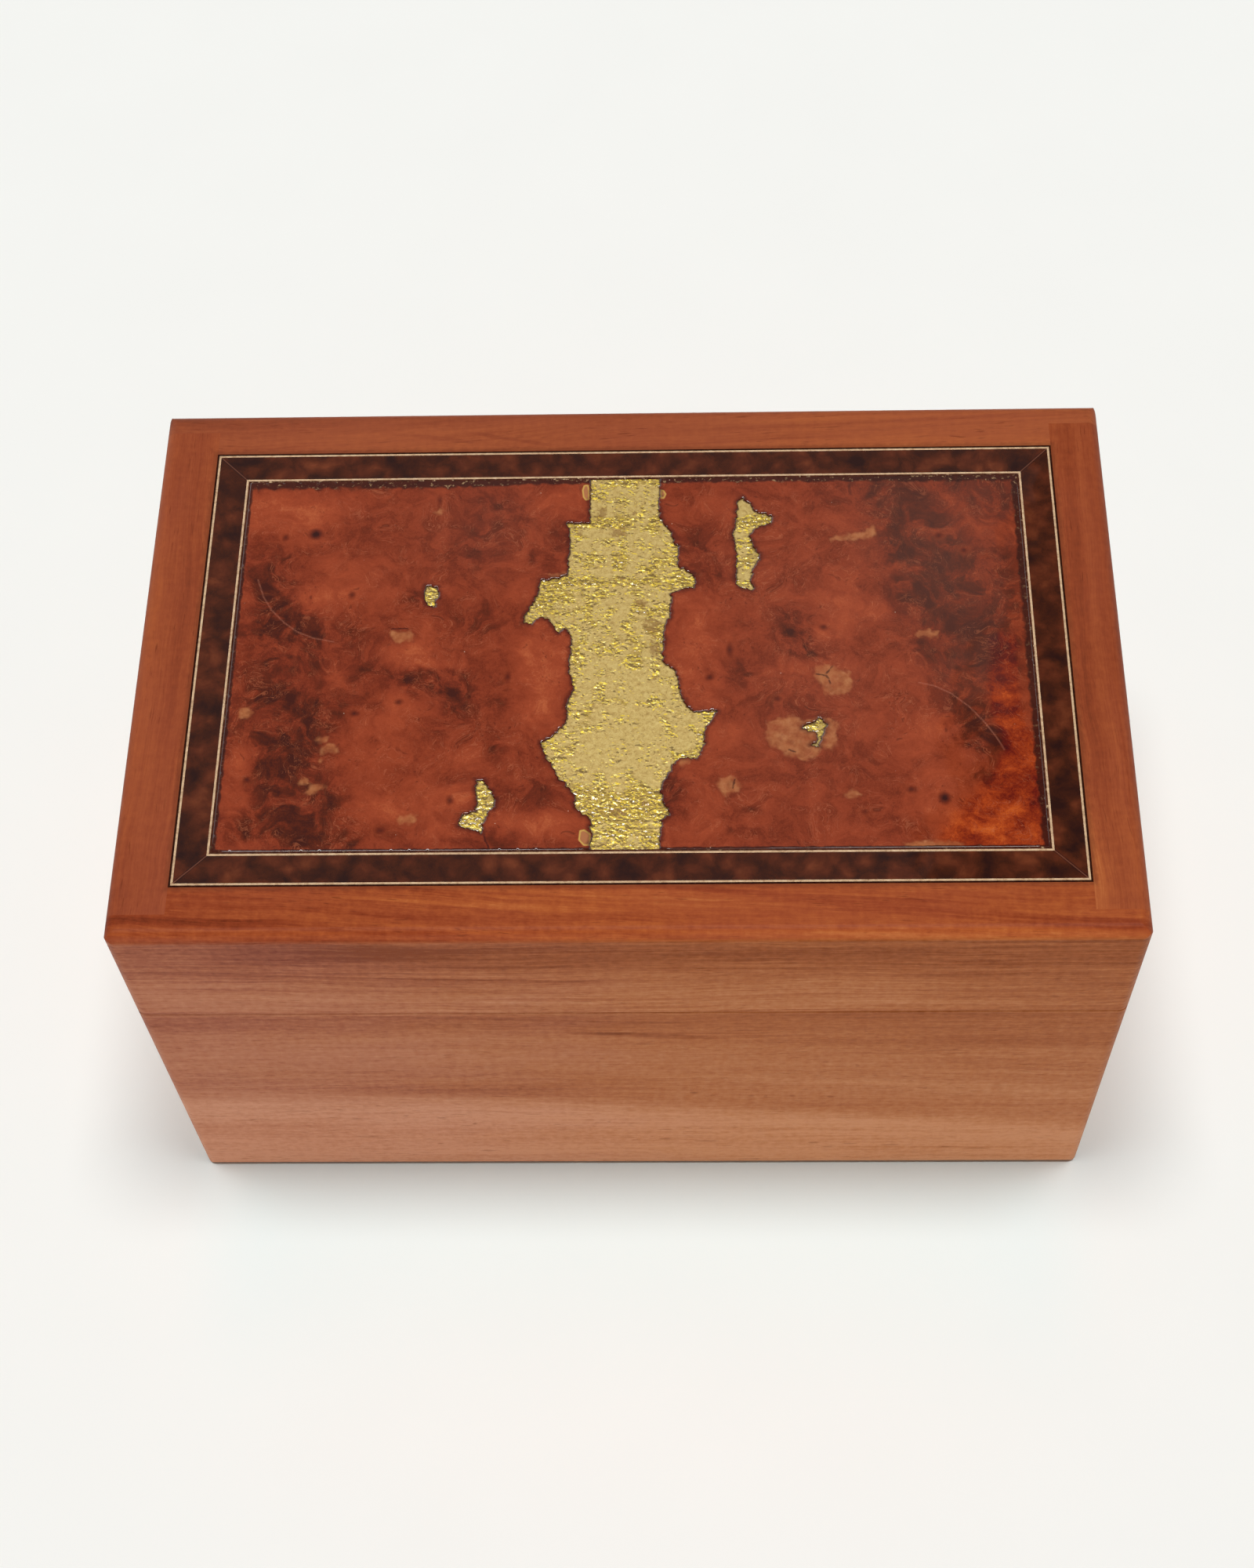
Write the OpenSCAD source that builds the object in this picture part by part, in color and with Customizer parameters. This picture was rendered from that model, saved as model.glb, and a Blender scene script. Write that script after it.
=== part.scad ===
// Keepsake box: hardwood case sawn into base and lid, with a framed lid panel of
// burl veneer, a gold-leaf fill between the two burl halves, and a dark burl border
// set between white and black stringing. Two brass stop hinges at the back.
// +Z up, +X along the front, origin under the middle of the whole box on its base plane.

/* [Case] */
// Outside width, along the front
case_w = 280; // [260:1:340]
// Outside depth of the boards, front to back
case_d = 178; // [170:1:220]
// Outside height with the lid closed
case_h = 162; // [130:1:200]
// Height of the lid, from the saw line to the top
lid_h = 47.5; // [36:0.5:60]
// Thickness of the case boards
wall_t = 7.5; // [7:0.5:10]
// Open saw line between base and lid
rim_gap = 0.3; // [0.3:0.05:0.5]
// Length of the tongues on the side boards
tongue_len = 3; // [2:0.5:4]

/* [Edges] */
// Radius along the top edges of the lid
top_round = 3.5; // [2:0.5:5]
// Radius of the four upright corners
side_round = 3; // [1:0.5:3]
// Radius along the bottom edges
base_round = 2; // [0.5:0.5:2]
// Eased edge along both sides of the saw line
rim_ease = 0.35; // [0.2:0.05:0.6]

/* [Lid frame] */
// Visible width of the stiles and rails of the inner frame
frame_w = 8.2; // [7:0.1:12]
// Thickness of the stiles and rails
frame_t = 10.2; // [9:0.1:14]
// How far the whole inlay sits to the right of the middle, as built by hand
inlay_x = 0.75; // [0:0.25:1.5]
// Width of the ledge that carries the core panel
ledge_w = 5.3; // [3:0.1:8]
// Thickness of the core panel
core_t = 5; // [4:0.5:6]
// Thickness of the backing veneer under the core panel
backing_t = 0.6; // [0.5:0.1:1]

/* [Inlay] */
// Thickness of all inlaid pieces, flush with the frame
inlay_t = 1.2; // [0.8:0.1:2]
// Width of each stringing line
line_w = 0.6; // [0.4:0.1:1]
// Width of the dark burl border
border_w = 8.4; // [6:0.1:10]
// Glue line left between the mitred ends of the stringing
mitre_gap = 0.04; // [0.02:0.01:0.1]

/* [Floor] */
// Thickness of the floor panel
floor_t = 4; // [3:0.5:6]
// Depth of the grooves that hold the floor panel
groove_d = 3; // [2:0.5:4]
// Height of the floor panel above the base plane
floor_lift = 3; // [2:0.5:6]
// Thickness of the felt lining
felt_t = 1; // [0.8:0.1:2]

/* [Hinges] */
// Distance between the middles of the two hinges
hinge_span = 180; // [120:1:200]
// Length of each hinge
hinge_len = 30; // [26:1:40]
// Width of a leaf from the back face inwards
leaf_w = 5.5; // [5:0.1:6]
// Thickness of a leaf
leaf_t = 1.6; // [1.4:0.1:2]
// Radius of the knuckles
knuckle_r = 2.5; // [2.4:0.1:3]
// Radius of the hinge pin
pin_r = 1.25; // [1:0.05:1.4]
// Radial running clearance of the lid knuckle on the pin
pin_clear = 0.05; // [0.02:0.01:0.08]
// Distance of the pin's axis behind the back face
axis_back = 2.8; // [2.8:0.1:3.4]
// Outer radius of the stop heels
heel_r = 4.2; // [4:0.1:4.6]
// Angle at which the heels meet and stop the lid
open_angle = 95; // [90:1:110]
// Shank radius of the hinge screws
screw_r = 0.9; // [0.8:0.05:1]
// Length of the hinge screws
screw_len = 9.5; // [7:0.5:12]

/* [Hidden] */
$fn = 64;
e = 0.01;

hw = case_w / 2;
hd = case_d / 2;
split_z = case_h - lid_h;
rim_lo = split_z - rim_gap / 2;
rim_hi = split_z + rim_gap / 2;
in_w = hw - wall_t;             // half inside width
in_d = hd - wall_t;             // half inside depth
heel_a = open_angle / 2 + 0.1;  // angle of the heel faces from straight back
back_reach = max(axis_back + knuckle_r, axis_back + heel_r * cos(heel_a));
y_shift = -back_reach / 2;      // puts the origin under the middle of the whole box
axis_y = hd + axis_back;
z_frame = case_h - frame_t;
z_core = case_h - inlay_t - core_t;
z_inlay = case_h - inlay_t;
fr_w = in_w - frame_w;          // half opening of the frame
fr_d = in_d - frame_w;
le_w = fr_w - ledge_w;
le_d = fr_d - ledge_w;
b_out = 2 * line_w;             // border's outer edge, in from the frame
b_in = b_out + border_w;
p_in = b_in + 2 * line_w;       // panel's edge, in from the frame
pan_w = fr_w - p_in;            // half size of the burl panel
pan_d = fr_d - p_in;

// Left edge of the gold fill, from the back to the front, in mm from the middle of the case
river_l = [
  [-11.2, 90], [-11.2, 56], [-11.3, 50], [-11.4, 47.7], [-15, 47.6], [-18.2, 47.9], [-17.3, 46],
  [-16.8, 42], [-17, 38], [-17.5, 34], [-17.1, 30], [-17.4, 28.9], [-19.6, 28.4], [-22, 27.5],
  [-25, 27.2], [-25.5, 25.4], [-26.8, 20], [-28.2, 17], [-29.9, 14], [-29.8, 12], [-27.6, 12.3],
  [-25.2, 13.9], [-23, 14], [-21.5, 12], [-20.2, 9.6], [-19.5, 8.5], [-18.6, 10.2], [-17, 10],
  [-16.2, 8], [-15.7, 5], [-15.9, 2], [-16.4, -1], [-16.2, -5], [-15.4, -8], [-15, -11],
  [-16.2, -14], [-17, -17.5], [-16.5, -20], [-17.6, -23], [-19.4, -25.2], [-21.2, -26.8],
  [-23.9, -28.2], [-23.6, -30], [-22.6, -32.5], [-21, -35], [-19.7, -38], [-18.6, -40.2],
  [-16.6, -42], [-15, -44], [-13.8, -46.5], [-13.9, -48.6], [-13.4, -50.2], [-12, -51.5],
  [-10.2, -52.6], [-9, -54], [-9.5, -56], [-9.2, -58], [-9.4, -61], [-9.2, -90]
];
// Right edge of the gold fill, from the front to the back
river_r = [
  [9.6, -90], [9.7, -60], [9.9, -56], [10, -53.5], [11, -53], [12.4, -52], [11.5, -50],
  [10.3, -47.5], [9.9, -45], [10, -42.6], [10.8, -40.8], [11.6, -40], [11.9, -38.6],
  [12.7, -37.8], [12.9, -36.2], [14, -35], [15.6, -34], [18, -33.7], [20.3, -34.2],
  [20.9, -32], [21.9, -29.5], [22.2, -26], [22.4, -24], [24, -21.5], [25.9, -18.3],
  [25, -17.9], [22, -18.4], [19.8, -18.9], [18.3, -18], [16.6, -16.2], [15.9, -13],
  [15.2, -11], [14.6, -7], [14, -4.6], [12.6, -3.8], [11.4, -2.5], [10.4, -1], [10.5, 3],
  [10.6, 7], [11, 10], [11.6, 13], [12.6, 14.5], [12.4, 17], [13, 20], [12.4, 22],
  [14.2, 23], [17, 24], [19.6, 24.2], [20, 26.5], [19.4, 28.5], [17.4, 30], [15.5, 31],
  [14.8, 33], [14.7, 36.5], [14.8, 39], [13.7, 40], [13, 43.5], [12.3, 45], [10.8, 47],
  [9.7, 49], [9.2, 52], [9.3, 56], [9.5, 60], [9.5, 90]
];
// Outlines of the small gold fills
chip_tall = [
  [32.6, 55], [33.4, 56.2], [34.4, 56.3], [35.2, 54.6], [36.2, 54], [37.2, 52], [38.2, 51],
  [40, 50.3], [42.2, 49.6], [42.8, 48.5], [42.3, 47.2], [40.6, 46.2], [38, 45.2], [36.8, 44.2],
  [36, 42.4], [36.2, 40.4], [36.9, 38.6], [37.8, 37], [38.6, 35.4], [38.8, 34], [38, 32.8],
  [37, 31.8], [36.6, 30], [36.1, 28], [36, 26], [36.6, 24.4], [36.8, 23.3], [35.6, 23.2],
  [34.6, 23.7], [33, 23.9], [32.4, 24.2], [31.8, 26], [31.7, 28], [31.9, 31], [32.2, 34],
  [32.2, 36], [31.7, 38], [31.5, 41], [31, 43], [31.5, 45.2], [32.1, 48], [32.4, 51]
];
chip_small = [
  [-58.6, 25.4], [-57.5, 25.5], [-56.2, 25.2], [-55.4, 24.8], [-55, 24], [-54.9, 22.5],
  [-55, 21], [-56, 20.6], [-56.1, 20], [-55.8, 19.4], [-55.6, 18.4], [-56.4, 18.2],
  [-57.6, 18.7], [-58.4, 19.5], [-58.9, 20.8], [-59.1, 22.5], [-58.9, 24.2]
];
chip_hook = [
  [-41.4, -40.9], [-40.4, -40.7], [-39.3, -41.3], [-38.2, -42.6], [-37.4, -44], [-36.6, -45.4],
  [-36.2, -47], [-36.4, -48.8], [-37, -49.8], [-37.6, -50.2], [-38, -51.8], [-38.6, -53],
  [-39, -53.8], [-39.4, -54.8], [-39.2, -56.4], [-39.4, -57.6], [-40.6, -57], [-42.6, -56.2],
  [-44.6, -55.6], [-45.8, -55.2], [-45.9, -54.2], [-45.4, -52.8], [-44.8, -52], [-43.4, -51.4],
  [-42.4, -51], [-41, -50.6], [-41.4, -49.8], [-41.6, -49.2], [-41.1, -48.6], [-40.9, -47.4],
  [-41.2, -45.8], [-41.5, -44], [-41.6, -42.4]
];
chip_star = [
  [49.7, -23.8], [51, -23.2], [52.4, -22.6], [53.6, -21.8], [54.4, -20.9], [55.2, -21.4],
  [55.6, -22.4], [56.6, -23.2], [56.4, -23.8], [55.8, -24.4], [55.5, -25.6], [55, -27.2],
  [54.6, -28.6], [54.2, -29.8], [54, -30.6], [53, -30.5], [51.8, -30.1], [52.4, -29.7],
  [53.3, -29.3], [53.8, -28], [53.8, -26.6], [53.5, -25.6], [52, -25.5], [51.2, -25.4],
  [50.6, -24.9], [49.8, -24.6]
];

// ---------- edge cutters ----------

// What a round-over of radius r takes off a square edge that runs along +Z from
// the origin. The edge is at [r, r] and the arc's centre at the origin.
module corner_cut(r, len) {
  difference() {
    translate([0, 0, 0]) cube([r + 1, r + 1, len]);
    translate([0, 0, -1]) cylinder(r = r, h = len + 2);
  }
}

// The same for an edge along X or Y: sx and sy say which side, up is 1 for a top edge
module edge_cut_x(sy, up, z, r) {
  translate([-hw - 1, sy * (hd - r), z - up * r])
    mirror([0, sy < 0 ? 1 : 0, 0]) mirror([0, 0, up < 0 ? 1 : 0])
      rotate([90, 0, 90]) corner_cut(r, case_w + 2);
}
module edge_cut_y(sx, up, z, r) {
  translate([sx * (hw - r), hd + 1, z - up * r])
    mirror([sx < 0 ? 1 : 0, 0, 0]) mirror([0, 0, up < 0 ? 1 : 0])
      rotate([90, 0, 0]) corner_cut(r, case_d + 2);
}
module edge_cut_z(sx, sy) {
  translate([sx * (hw - side_round), sy * (hd - side_round), -1])
    mirror([sx < 0 ? 1 : 0, 0, 0]) mirror([0, sy < 0 ? 1 : 0, 0])
      corner_cut(side_round, case_h + 2);
}

// Small chamfer along the saw line. up = 1 eases an edge that faces up at height z
module ease_x(sy, up, z) {
  translate([-hw + side_round, sy * hd, z])
    mirror([0, sy < 0 ? 1 : 0, 0]) mirror([0, 0, up < 0 ? 1 : 0])
      rotate([90, 0, 90]) linear_extrude(case_w - 2 * side_round)
        polygon([[-rim_ease, 0.2], [-rim_ease, 0], [0, -rim_ease], [0.2, -rim_ease], [0.2, 0.2]]);
}
module ease_y(sx, up, z) {
  translate([sx * hw, hd - side_round, z])
    mirror([sx < 0 ? 1 : 0, 0, 0]) mirror([0, 0, up < 0 ? 1 : 0])
      rotate([90, 0, 0]) linear_extrude(case_d - 2 * side_round)
        polygon([[-rim_ease, 0.2], [-rim_ease, 0], [0, -rim_ease], [0.2, -rim_ease], [0.2, 0.2]]);
}
module ease_corner(sx, sy, up, z) {
  translate([sx * (hw - side_round), sy * (hd - side_round), z])
    mirror([sx < 0 ? 1 : 0, 0, 0]) mirror([0, sy < 0 ? 1 : 0, 0])
      mirror([0, 0, up < 0 ? 1 : 0])
        intersection() {
          rotate_extrude() polygon([
            [side_round - rim_ease, 0.2], [side_round - rim_ease, 0],
            [side_round, -rim_ease], [side_round + 0.2, -rim_ease], [side_round + 0.2, 0.2]
          ]);
          translate([0, 0, -1]) cube([side_round + 1, side_round + 1, 2]);
        }
}

// ---------- boards ----------

// Front or back board of full width, sy = -1 front, 1 back, between z0 and z1
module long_board(sy, z0, z1, up) {
  zr = up > 0 ? z1 : z0;   // the rim
  zt = up > 0 ? z0 : z1;   // the outer edge, bottom or top
  r = up > 0 ? base_round : top_round;
  difference() {
    translate([-hw, sy > 0 ? in_d : -hd, z0]) cube([case_w, wall_t, z1 - z0]);
    edge_cut_z(-1, sy);
    edge_cut_z(1, sy);
    edge_cut_x(sy, -up, zt, r);
    edge_cut_y(-1, -up, zt, r);
    edge_cut_y(1, -up, zt, r);
    ease_x(sy, up, zr);
    ease_corner(-1, sy, up, zr);
    ease_corner(1, sy, up, zr);
    // grooves for the tongues of the side boards
    for (sx = [-1, 1])
      translate([sx > 0 ? in_w : -in_w - tongue_len, sy > 0 ? in_d - 1 : -in_d - tongue_len,
                 up > 0 ? z0 + 8 : z0 - 1])
        cube([tongue_len, tongue_len + 1, up > 0 ? z1 - z0 : z1 - z0 - 7]);
  }
}

// Side board between the long boards, with a tongue at each end, sx = -1 left, 1 right
module side_board(sx, z0, z1, up) {
  zr = up > 0 ? z1 : z0;
  zt = up > 0 ? z0 : z1;
  r = up > 0 ? base_round : top_round;
  difference() {
    union() {
      translate([sx > 0 ? in_w : -hw, -in_d, z0]) cube([wall_t, 2 * in_d, z1 - z0]);
      translate([sx > 0 ? in_w : -in_w - tongue_len, -in_d - tongue_len, up > 0 ? z0 + 8 : z0])
        cube([tongue_len, 2 * (in_d + tongue_len), z1 - z0 - 8]);
    }
    edge_cut_y(sx, -up, zt, r);
    ease_y(sx, up, zr);
  }
}

// Space of the floor panel and its grooves: notched at the corners
module floor_shape(z0, t) {
  translate([-in_w - groove_d, -in_d, z0]) cube([2 * (in_w + groove_d), 2 * in_d, t]);
  translate([-in_w, -in_d - groove_d, z0]) cube([2 * in_w, 2 * (in_d + groove_d), t]);
}

// ---------- hinges, in their own frame: axis along X at the origin ----------

function hinge_x(side) = side * hinge_span / 2;
k_end = (hinge_len - 12.4) / 2;   // each end knuckle
k_mid = 12;                       // middle knuckle

module hinge_place(side) translate([hinge_x(side), axis_y, split_z]) children();

// Solid wedge in the Y-Z plane between two angles, as a prism along X
module wedge_x(a0, a1, r, x0, len) {
  translate([x0, 0, 0]) rotate([90, 0, 90]) linear_extrude(len)
    polygon([[0, 0], [r * cos(a0), r * sin(a0)],
             [1.6 * r * cos((a0 + a1) / 2), 1.6 * r * sin((a0 + a1) / 2)],
             [r * cos(a1), r * sin(a1)]]);
}
module tube_x(r1, r0, x0, len) {
  translate([x0, 0, 0]) rotate([0, 90, 0]) difference() {
    cylinder(r = r1, h = len);
    if (r0 > 0) translate([0, 0, -1]) cylinder(r = r0, h = len + 2);
  }
}

// The stop heel: up = 1 on the lid leaf, -1 on the base leaf
module heel(up) {
  a0 = up > 0 ? heel_a : -100;
  a1 = up > 0 ? 100 : -heel_a;
  intersection() {
    tube_x(heel_r, knuckle_r + 0.25, -hinge_len / 2, hinge_len);
    wedge_x(a0, a1, 2 * heel_r, -hinge_len / 2 - 1, hinge_len + 2);
  }
}
// Web that joins a heel to one knuckle
module heel_web(up, x0, len) {
  a0 = up > 0 ? heel_a : -100;
  a1 = up > 0 ? 100 : -heel_a;
  intersection() {
    tube_x(heel_r, (pin_r + knuckle_r) / 2, x0, len);
    wedge_x(a0, a1, 2 * heel_r, x0 - 1, len + 2);
  }
}
// Screw places on a leaf, along X and from the axis
function screw_x() = [-hinge_len / 2 + 4.5, 0, hinge_len / 2 - 4.5];
screw_y = -axis_back - 2.9;

module screw_body(clear) {
  // stands along +Z with the flat head at z = 0 and the point down
  translate([0, 0, -0.95]) cylinder(r1 = screw_r, r2 = screw_r + 0.95, h = 0.95);
  translate([0, 0, -screw_len + 1.5]) cylinder(r = screw_r + clear, h = screw_len - 1.5 - 0.9);
  translate([0, 0, -screw_len]) cylinder(r1 = 0.15, r2 = screw_r + clear, h = 1.5 + e);
}
module screw_one() {
  difference() {
    screw_body(0);
    translate([-3, -0.2, -0.4]) cube([6, 0.4, 1]);
  }
}

// A leaf with its knuckles and heel. up = -1 is the base leaf, with the two end knuckles
module leaf(up) {
  z_in = rim_gap / 2;
  difference() {
    union() {
      // plate in its mortise
      translate([-hinge_len / 2, -axis_back - leaf_w, up > 0 ? z_in : -z_in - leaf_t])
        cube([hinge_len, leaf_w, leaf_t]);
      if (up > 0) {
        translate([-k_mid / 2, -axis_back - 0.5, z_in]) cube([k_mid, axis_back + 0.5, leaf_t]);
        tube_x(knuckle_r, 0, -k_mid / 2, k_mid);
        heel_web(1, -k_mid / 2, k_mid);
      } else {
        for (s = [-1, 1]) {
          x0 = s > 0 ? hinge_len / 2 - k_end : -hinge_len / 2;
          translate([x0, -axis_back - 0.5, -z_in - leaf_t]) cube([k_end, axis_back + 0.5, leaf_t]);
          tube_x(knuckle_r, 0, x0, k_end);
          heel_web(-1, x0, k_end);
        }
      }
      heel(up);
    }
    translate([-hinge_len / 2 - 1, 0, 0]) rotate([0, 90, 0])
      cylinder(r = up > 0 ? pin_r + pin_clear : pin_r, h = hinge_len + 2);
    for (x = screw_x()) translate([x, screw_y, up * z_in]) mirror([0, 0, up > 0 ? 1 : 0]) {
      translate([0, 0, -0.95]) cylinder(r1 = screw_r, r2 = screw_r + 0.95, h = 0.95);
      translate([0, 0, 0]) cylinder(r = screw_r + 0.95, h = 1);
      translate([0, 0, -leaf_t - 1]) cylinder(r = screw_r + 0.04, h = leaf_t + 1);
    }
  }
}
// What a board loses to a hinge: the mortise and three pilot holes
module hinge_cut(side, up) {
  hinge_place(side) {
    translate([-hinge_len / 2, -axis_back - leaf_w, up > 0 ? 0 : -rim_gap / 2 - leaf_t])
      cube([hinge_len, leaf_w + 2, rim_gap / 2 + leaf_t]);
    for (x = screw_x()) translate([x, screw_y, up * rim_gap / 2])
      translate([0, 0, up > 0 ? 0 : -screw_len - 0.1]) cylinder(r = screw_r + 0.04, h = screw_len + 0.1);
  }
}

// ---------- sub-parts ----------

module base_front_board() color([0.62, 0.33, 0.22]) difference() {
  long_board(-1, 0, rim_lo, 1);
  floor_shape(floor_lift, floor_t);
}
module base_back_board() color([0.62, 0.33, 0.22]) difference() {
  long_board(1, 0, rim_lo, 1);
  floor_shape(floor_lift, floor_t);
  hinge_cut(-1, -1);
  hinge_cut(1, -1);
}
module base_left_board() color([0.6, 0.31, 0.2]) difference() {
  side_board(-1, 0, rim_lo, 1);
  floor_shape(floor_lift, floor_t);
}
module base_right_board() color([0.6, 0.31, 0.2]) difference() {
  side_board(1, 0, rim_lo, 1);
  floor_shape(floor_lift, floor_t);
}
module base_floor_panel() color([0.75, 0.6, 0.42]) floor_shape(floor_lift, floor_t);
module base_lining() color([0.2, 0.08, 0.08])
  translate([-in_w + 0.3, -in_d + 0.3, floor_lift + floor_t])
    cube([2 * in_w - 0.6, 2 * in_d - 0.6, felt_t]);

module lid_front_board() color([0.66, 0.32, 0.18]) long_board(-1, rim_hi, case_h, -1);
module lid_back_board() color([0.66, 0.32, 0.18]) difference() {
  long_board(1, rim_hi, case_h, -1);
  hinge_cut(-1, 1);
  hinge_cut(1, 1);
}
module lid_left_board() color([0.66, 0.32, 0.18]) side_board(-1, rim_hi, case_h, -1);
module lid_right_board() color([0.66, 0.32, 0.18]) side_board(1, rim_hi, case_h, -1);

// Stile between the long boards, with the ledge under the core panel
module stile(sx) {
  w = frame_w - sx * inlay_x;
  translate([sx > 0 ? fr_w + inlay_x : -in_w, -in_d, z_frame]) cube([w, 2 * in_d, frame_t]);
  translate([inlay_x + (sx > 0 ? le_w : -fr_w - e), -in_d, z_frame])
    cube([ledge_w + e, 2 * in_d, z_core - z_frame]);
}
// Rail between the stiles
module rail(sy) translate([inlay_x, 0, 0]) {
  translate([-fr_w, sy > 0 ? fr_d : -in_d, z_core]) cube([2 * fr_w, frame_w, case_h - z_core]);
  translate([-le_w, sy > 0 ? le_d : -in_d, z_frame]) cube([2 * le_w, frame_w + ledge_w, z_core - z_frame]);
}
module top_stile_left() color([0.68, 0.33, 0.18]) stile(-1);
module top_stile_right() color([0.68, 0.33, 0.18]) stile(1);
module top_rail_front() color([0.7, 0.34, 0.18]) rail(-1);
module top_rail_back() color([0.7, 0.34, 0.18]) rail(1);

module top_core_panel() color([0.72, 0.58, 0.4])
  translate([inlay_x - fr_w, -fr_d, z_core]) cube([2 * fr_w, 2 * fr_d, core_t]);
module lid_backing_veneer() color([0.55, 0.3, 0.2])
  translate([inlay_x - le_w, -le_d, z_core - backing_t]) cube([2 * le_w, 2 * le_d, backing_t]);

// One mitred strip on side k (0 front, 1 right, 2 back, 3 left), between the distances
// a and b in from the frame, with a gap g at each mitre
module strip(k, a, b, g) {
  lw = fr_w - a; ld = fr_d - a; sw = fr_w - b; sd = fr_d - b;
  o = k == 0 ? [[-lw + g, -ld], [lw - g, -ld], [sw - g, -sd], [-sw + g, -sd]]
    : k == 1 ? [[lw, -ld + g], [lw, ld - g], [sw, sd - g], [sw, -sd + g]]
    : k == 2 ? [[lw - g, ld], [-lw + g, ld], [-sw + g, sd], [sw - g, sd]]
    : [[-lw, ld - g], [-lw, -ld + g], [-sw, -sd + g], [-sw, sd - g]];
  translate([inlay_x, 0, z_inlay]) linear_extrude(inlay_t) polygon(o);
}
module line_ring(a) for (k = [0:3]) strip(k, a, a + line_w, mitre_gap / 2);

module outer_black_line() color([0.06, 0.05, 0.05]) line_ring(0);
module outer_white_line() color([0.93, 0.88, 0.74]) line_ring(line_w);
module inner_white_line() color([0.93, 0.88, 0.74]) line_ring(b_in);
module inner_black_line() color([0.06, 0.05, 0.05]) line_ring(b_in + line_w);
module border_front() color([0.2, 0.07, 0.05]) strip(0, b_out, b_in, 0);
module border_right() color([0.2, 0.07, 0.05]) strip(1, b_out, b_in, 0);
module border_back() color([0.2, 0.07, 0.05]) strip(2, b_out, b_in, 0);
module border_left() color([0.2, 0.07, 0.05]) strip(3, b_out, b_in, 0);

module panel_space() translate([inlay_x - pan_w, -pan_d, z_inlay]) cube([2 * pan_w, 2 * pan_d, inlay_t]);
module chip_space(points, more) translate([0, 0, z_inlay - more])
  linear_extrude(inlay_t + 2 * more) polygon(points);

module burl_left_half() color([0.55, 0.18, 0.1]) difference() {
  intersection() {
    panel_space();
    translate([0, 0, z_inlay - 1]) linear_extrude(inlay_t + 2)
      polygon(concat([[-hw, 90]], river_l, [[-hw, -90]]));
  }
  chip_space(chip_small, 1);
  chip_space(chip_hook, 1);
}
module burl_right_half() color([0.55, 0.18, 0.1]) difference() {
  intersection() {
    panel_space();
    translate([0, 0, z_inlay - 1]) linear_extrude(inlay_t + 2)
      polygon(concat([[hw, -90]], river_r, [[hw, 90]]));
  }
  chip_space(chip_tall, 1);
  chip_space(chip_star, 1);
}
module gold_river() color([0.8, 0.66, 0.32]) intersection() {
  panel_space();
  translate([0, 0, z_inlay - 1]) linear_extrude(inlay_t + 2) polygon(concat(river_l, river_r));
}
module gold_chips() color([0.8, 0.66, 0.32]) {
  chip_space(chip_small, 0);
  chip_space(chip_hook, 0);
  chip_space(chip_tall, 0);
  chip_space(chip_star, 0);
}

module hinge_left_base_leaf() color([0.8, 0.63, 0.3]) hinge_place(-1) leaf(-1);
module hinge_right_base_leaf() color([0.8, 0.63, 0.3]) hinge_place(1) leaf(-1);
module hinge_left_lid_leaf() color([0.8, 0.63, 0.3]) hinge_place(-1) leaf(1);
module hinge_right_lid_leaf() color([0.8, 0.63, 0.3]) hinge_place(1) leaf(1);
module pin(side) hinge_place(side) translate([-hinge_len / 2 + 0.1, 0, 0]) rotate([0, 90, 0])
  cylinder(r = pin_r, h = hinge_len - 0.2);
module hinge_left_pin() color([0.7, 0.55, 0.28]) pin(-1);
module hinge_right_pin() color([0.7, 0.55, 0.28]) pin(1);
module screws(up) for (side = [-1, 1]) hinge_place(side)
  for (x = screw_x()) translate([x, screw_y, up * rim_gap / 2]) mirror([0, 0, up > 0 ? 1 : 0])
    screw_one();
module hinge_base_screws() color([0.78, 0.62, 0.32]) screws(-1);
module hinge_lid_screws() color([0.78, 0.62, 0.32]) screws(1);

// Everything is drawn about the middle of the case and then moved so that the origin
// is under the middle of the whole box, hinges included
module put() translate([0, y_shift, 0]) children();

put() base_front_board();
put() base_back_board();
put() base_left_board();
put() base_right_board();
put() base_floor_panel();
put() base_lining();
put() hinge_left_base_leaf();
put() hinge_right_base_leaf();
put() hinge_left_pin();
put() hinge_right_pin();
put() hinge_base_screws();
put() lid_front_board();
put() lid_back_board();
put() lid_left_board();
put() lid_right_board();
put() top_stile_left();
put() top_stile_right();
put() top_rail_front();
put() top_rail_back();
put() top_core_panel();
put() lid_backing_veneer();
put() outer_black_line();
put() outer_white_line();
put() inner_white_line();
put() inner_black_line();
put() border_front();
put() border_back();
put() border_left();
put() border_right();
put() burl_left_half();
put() burl_right_half();
put() gold_river();
put() gold_chips();
put() hinge_left_lid_leaf();
put() hinge_right_lid_leaf();
put() hinge_lid_screws();
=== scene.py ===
import math

import bmesh
import bpy
import numpy as np
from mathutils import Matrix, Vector
from mathutils.geometry import delaunay_2d_cdt


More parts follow.
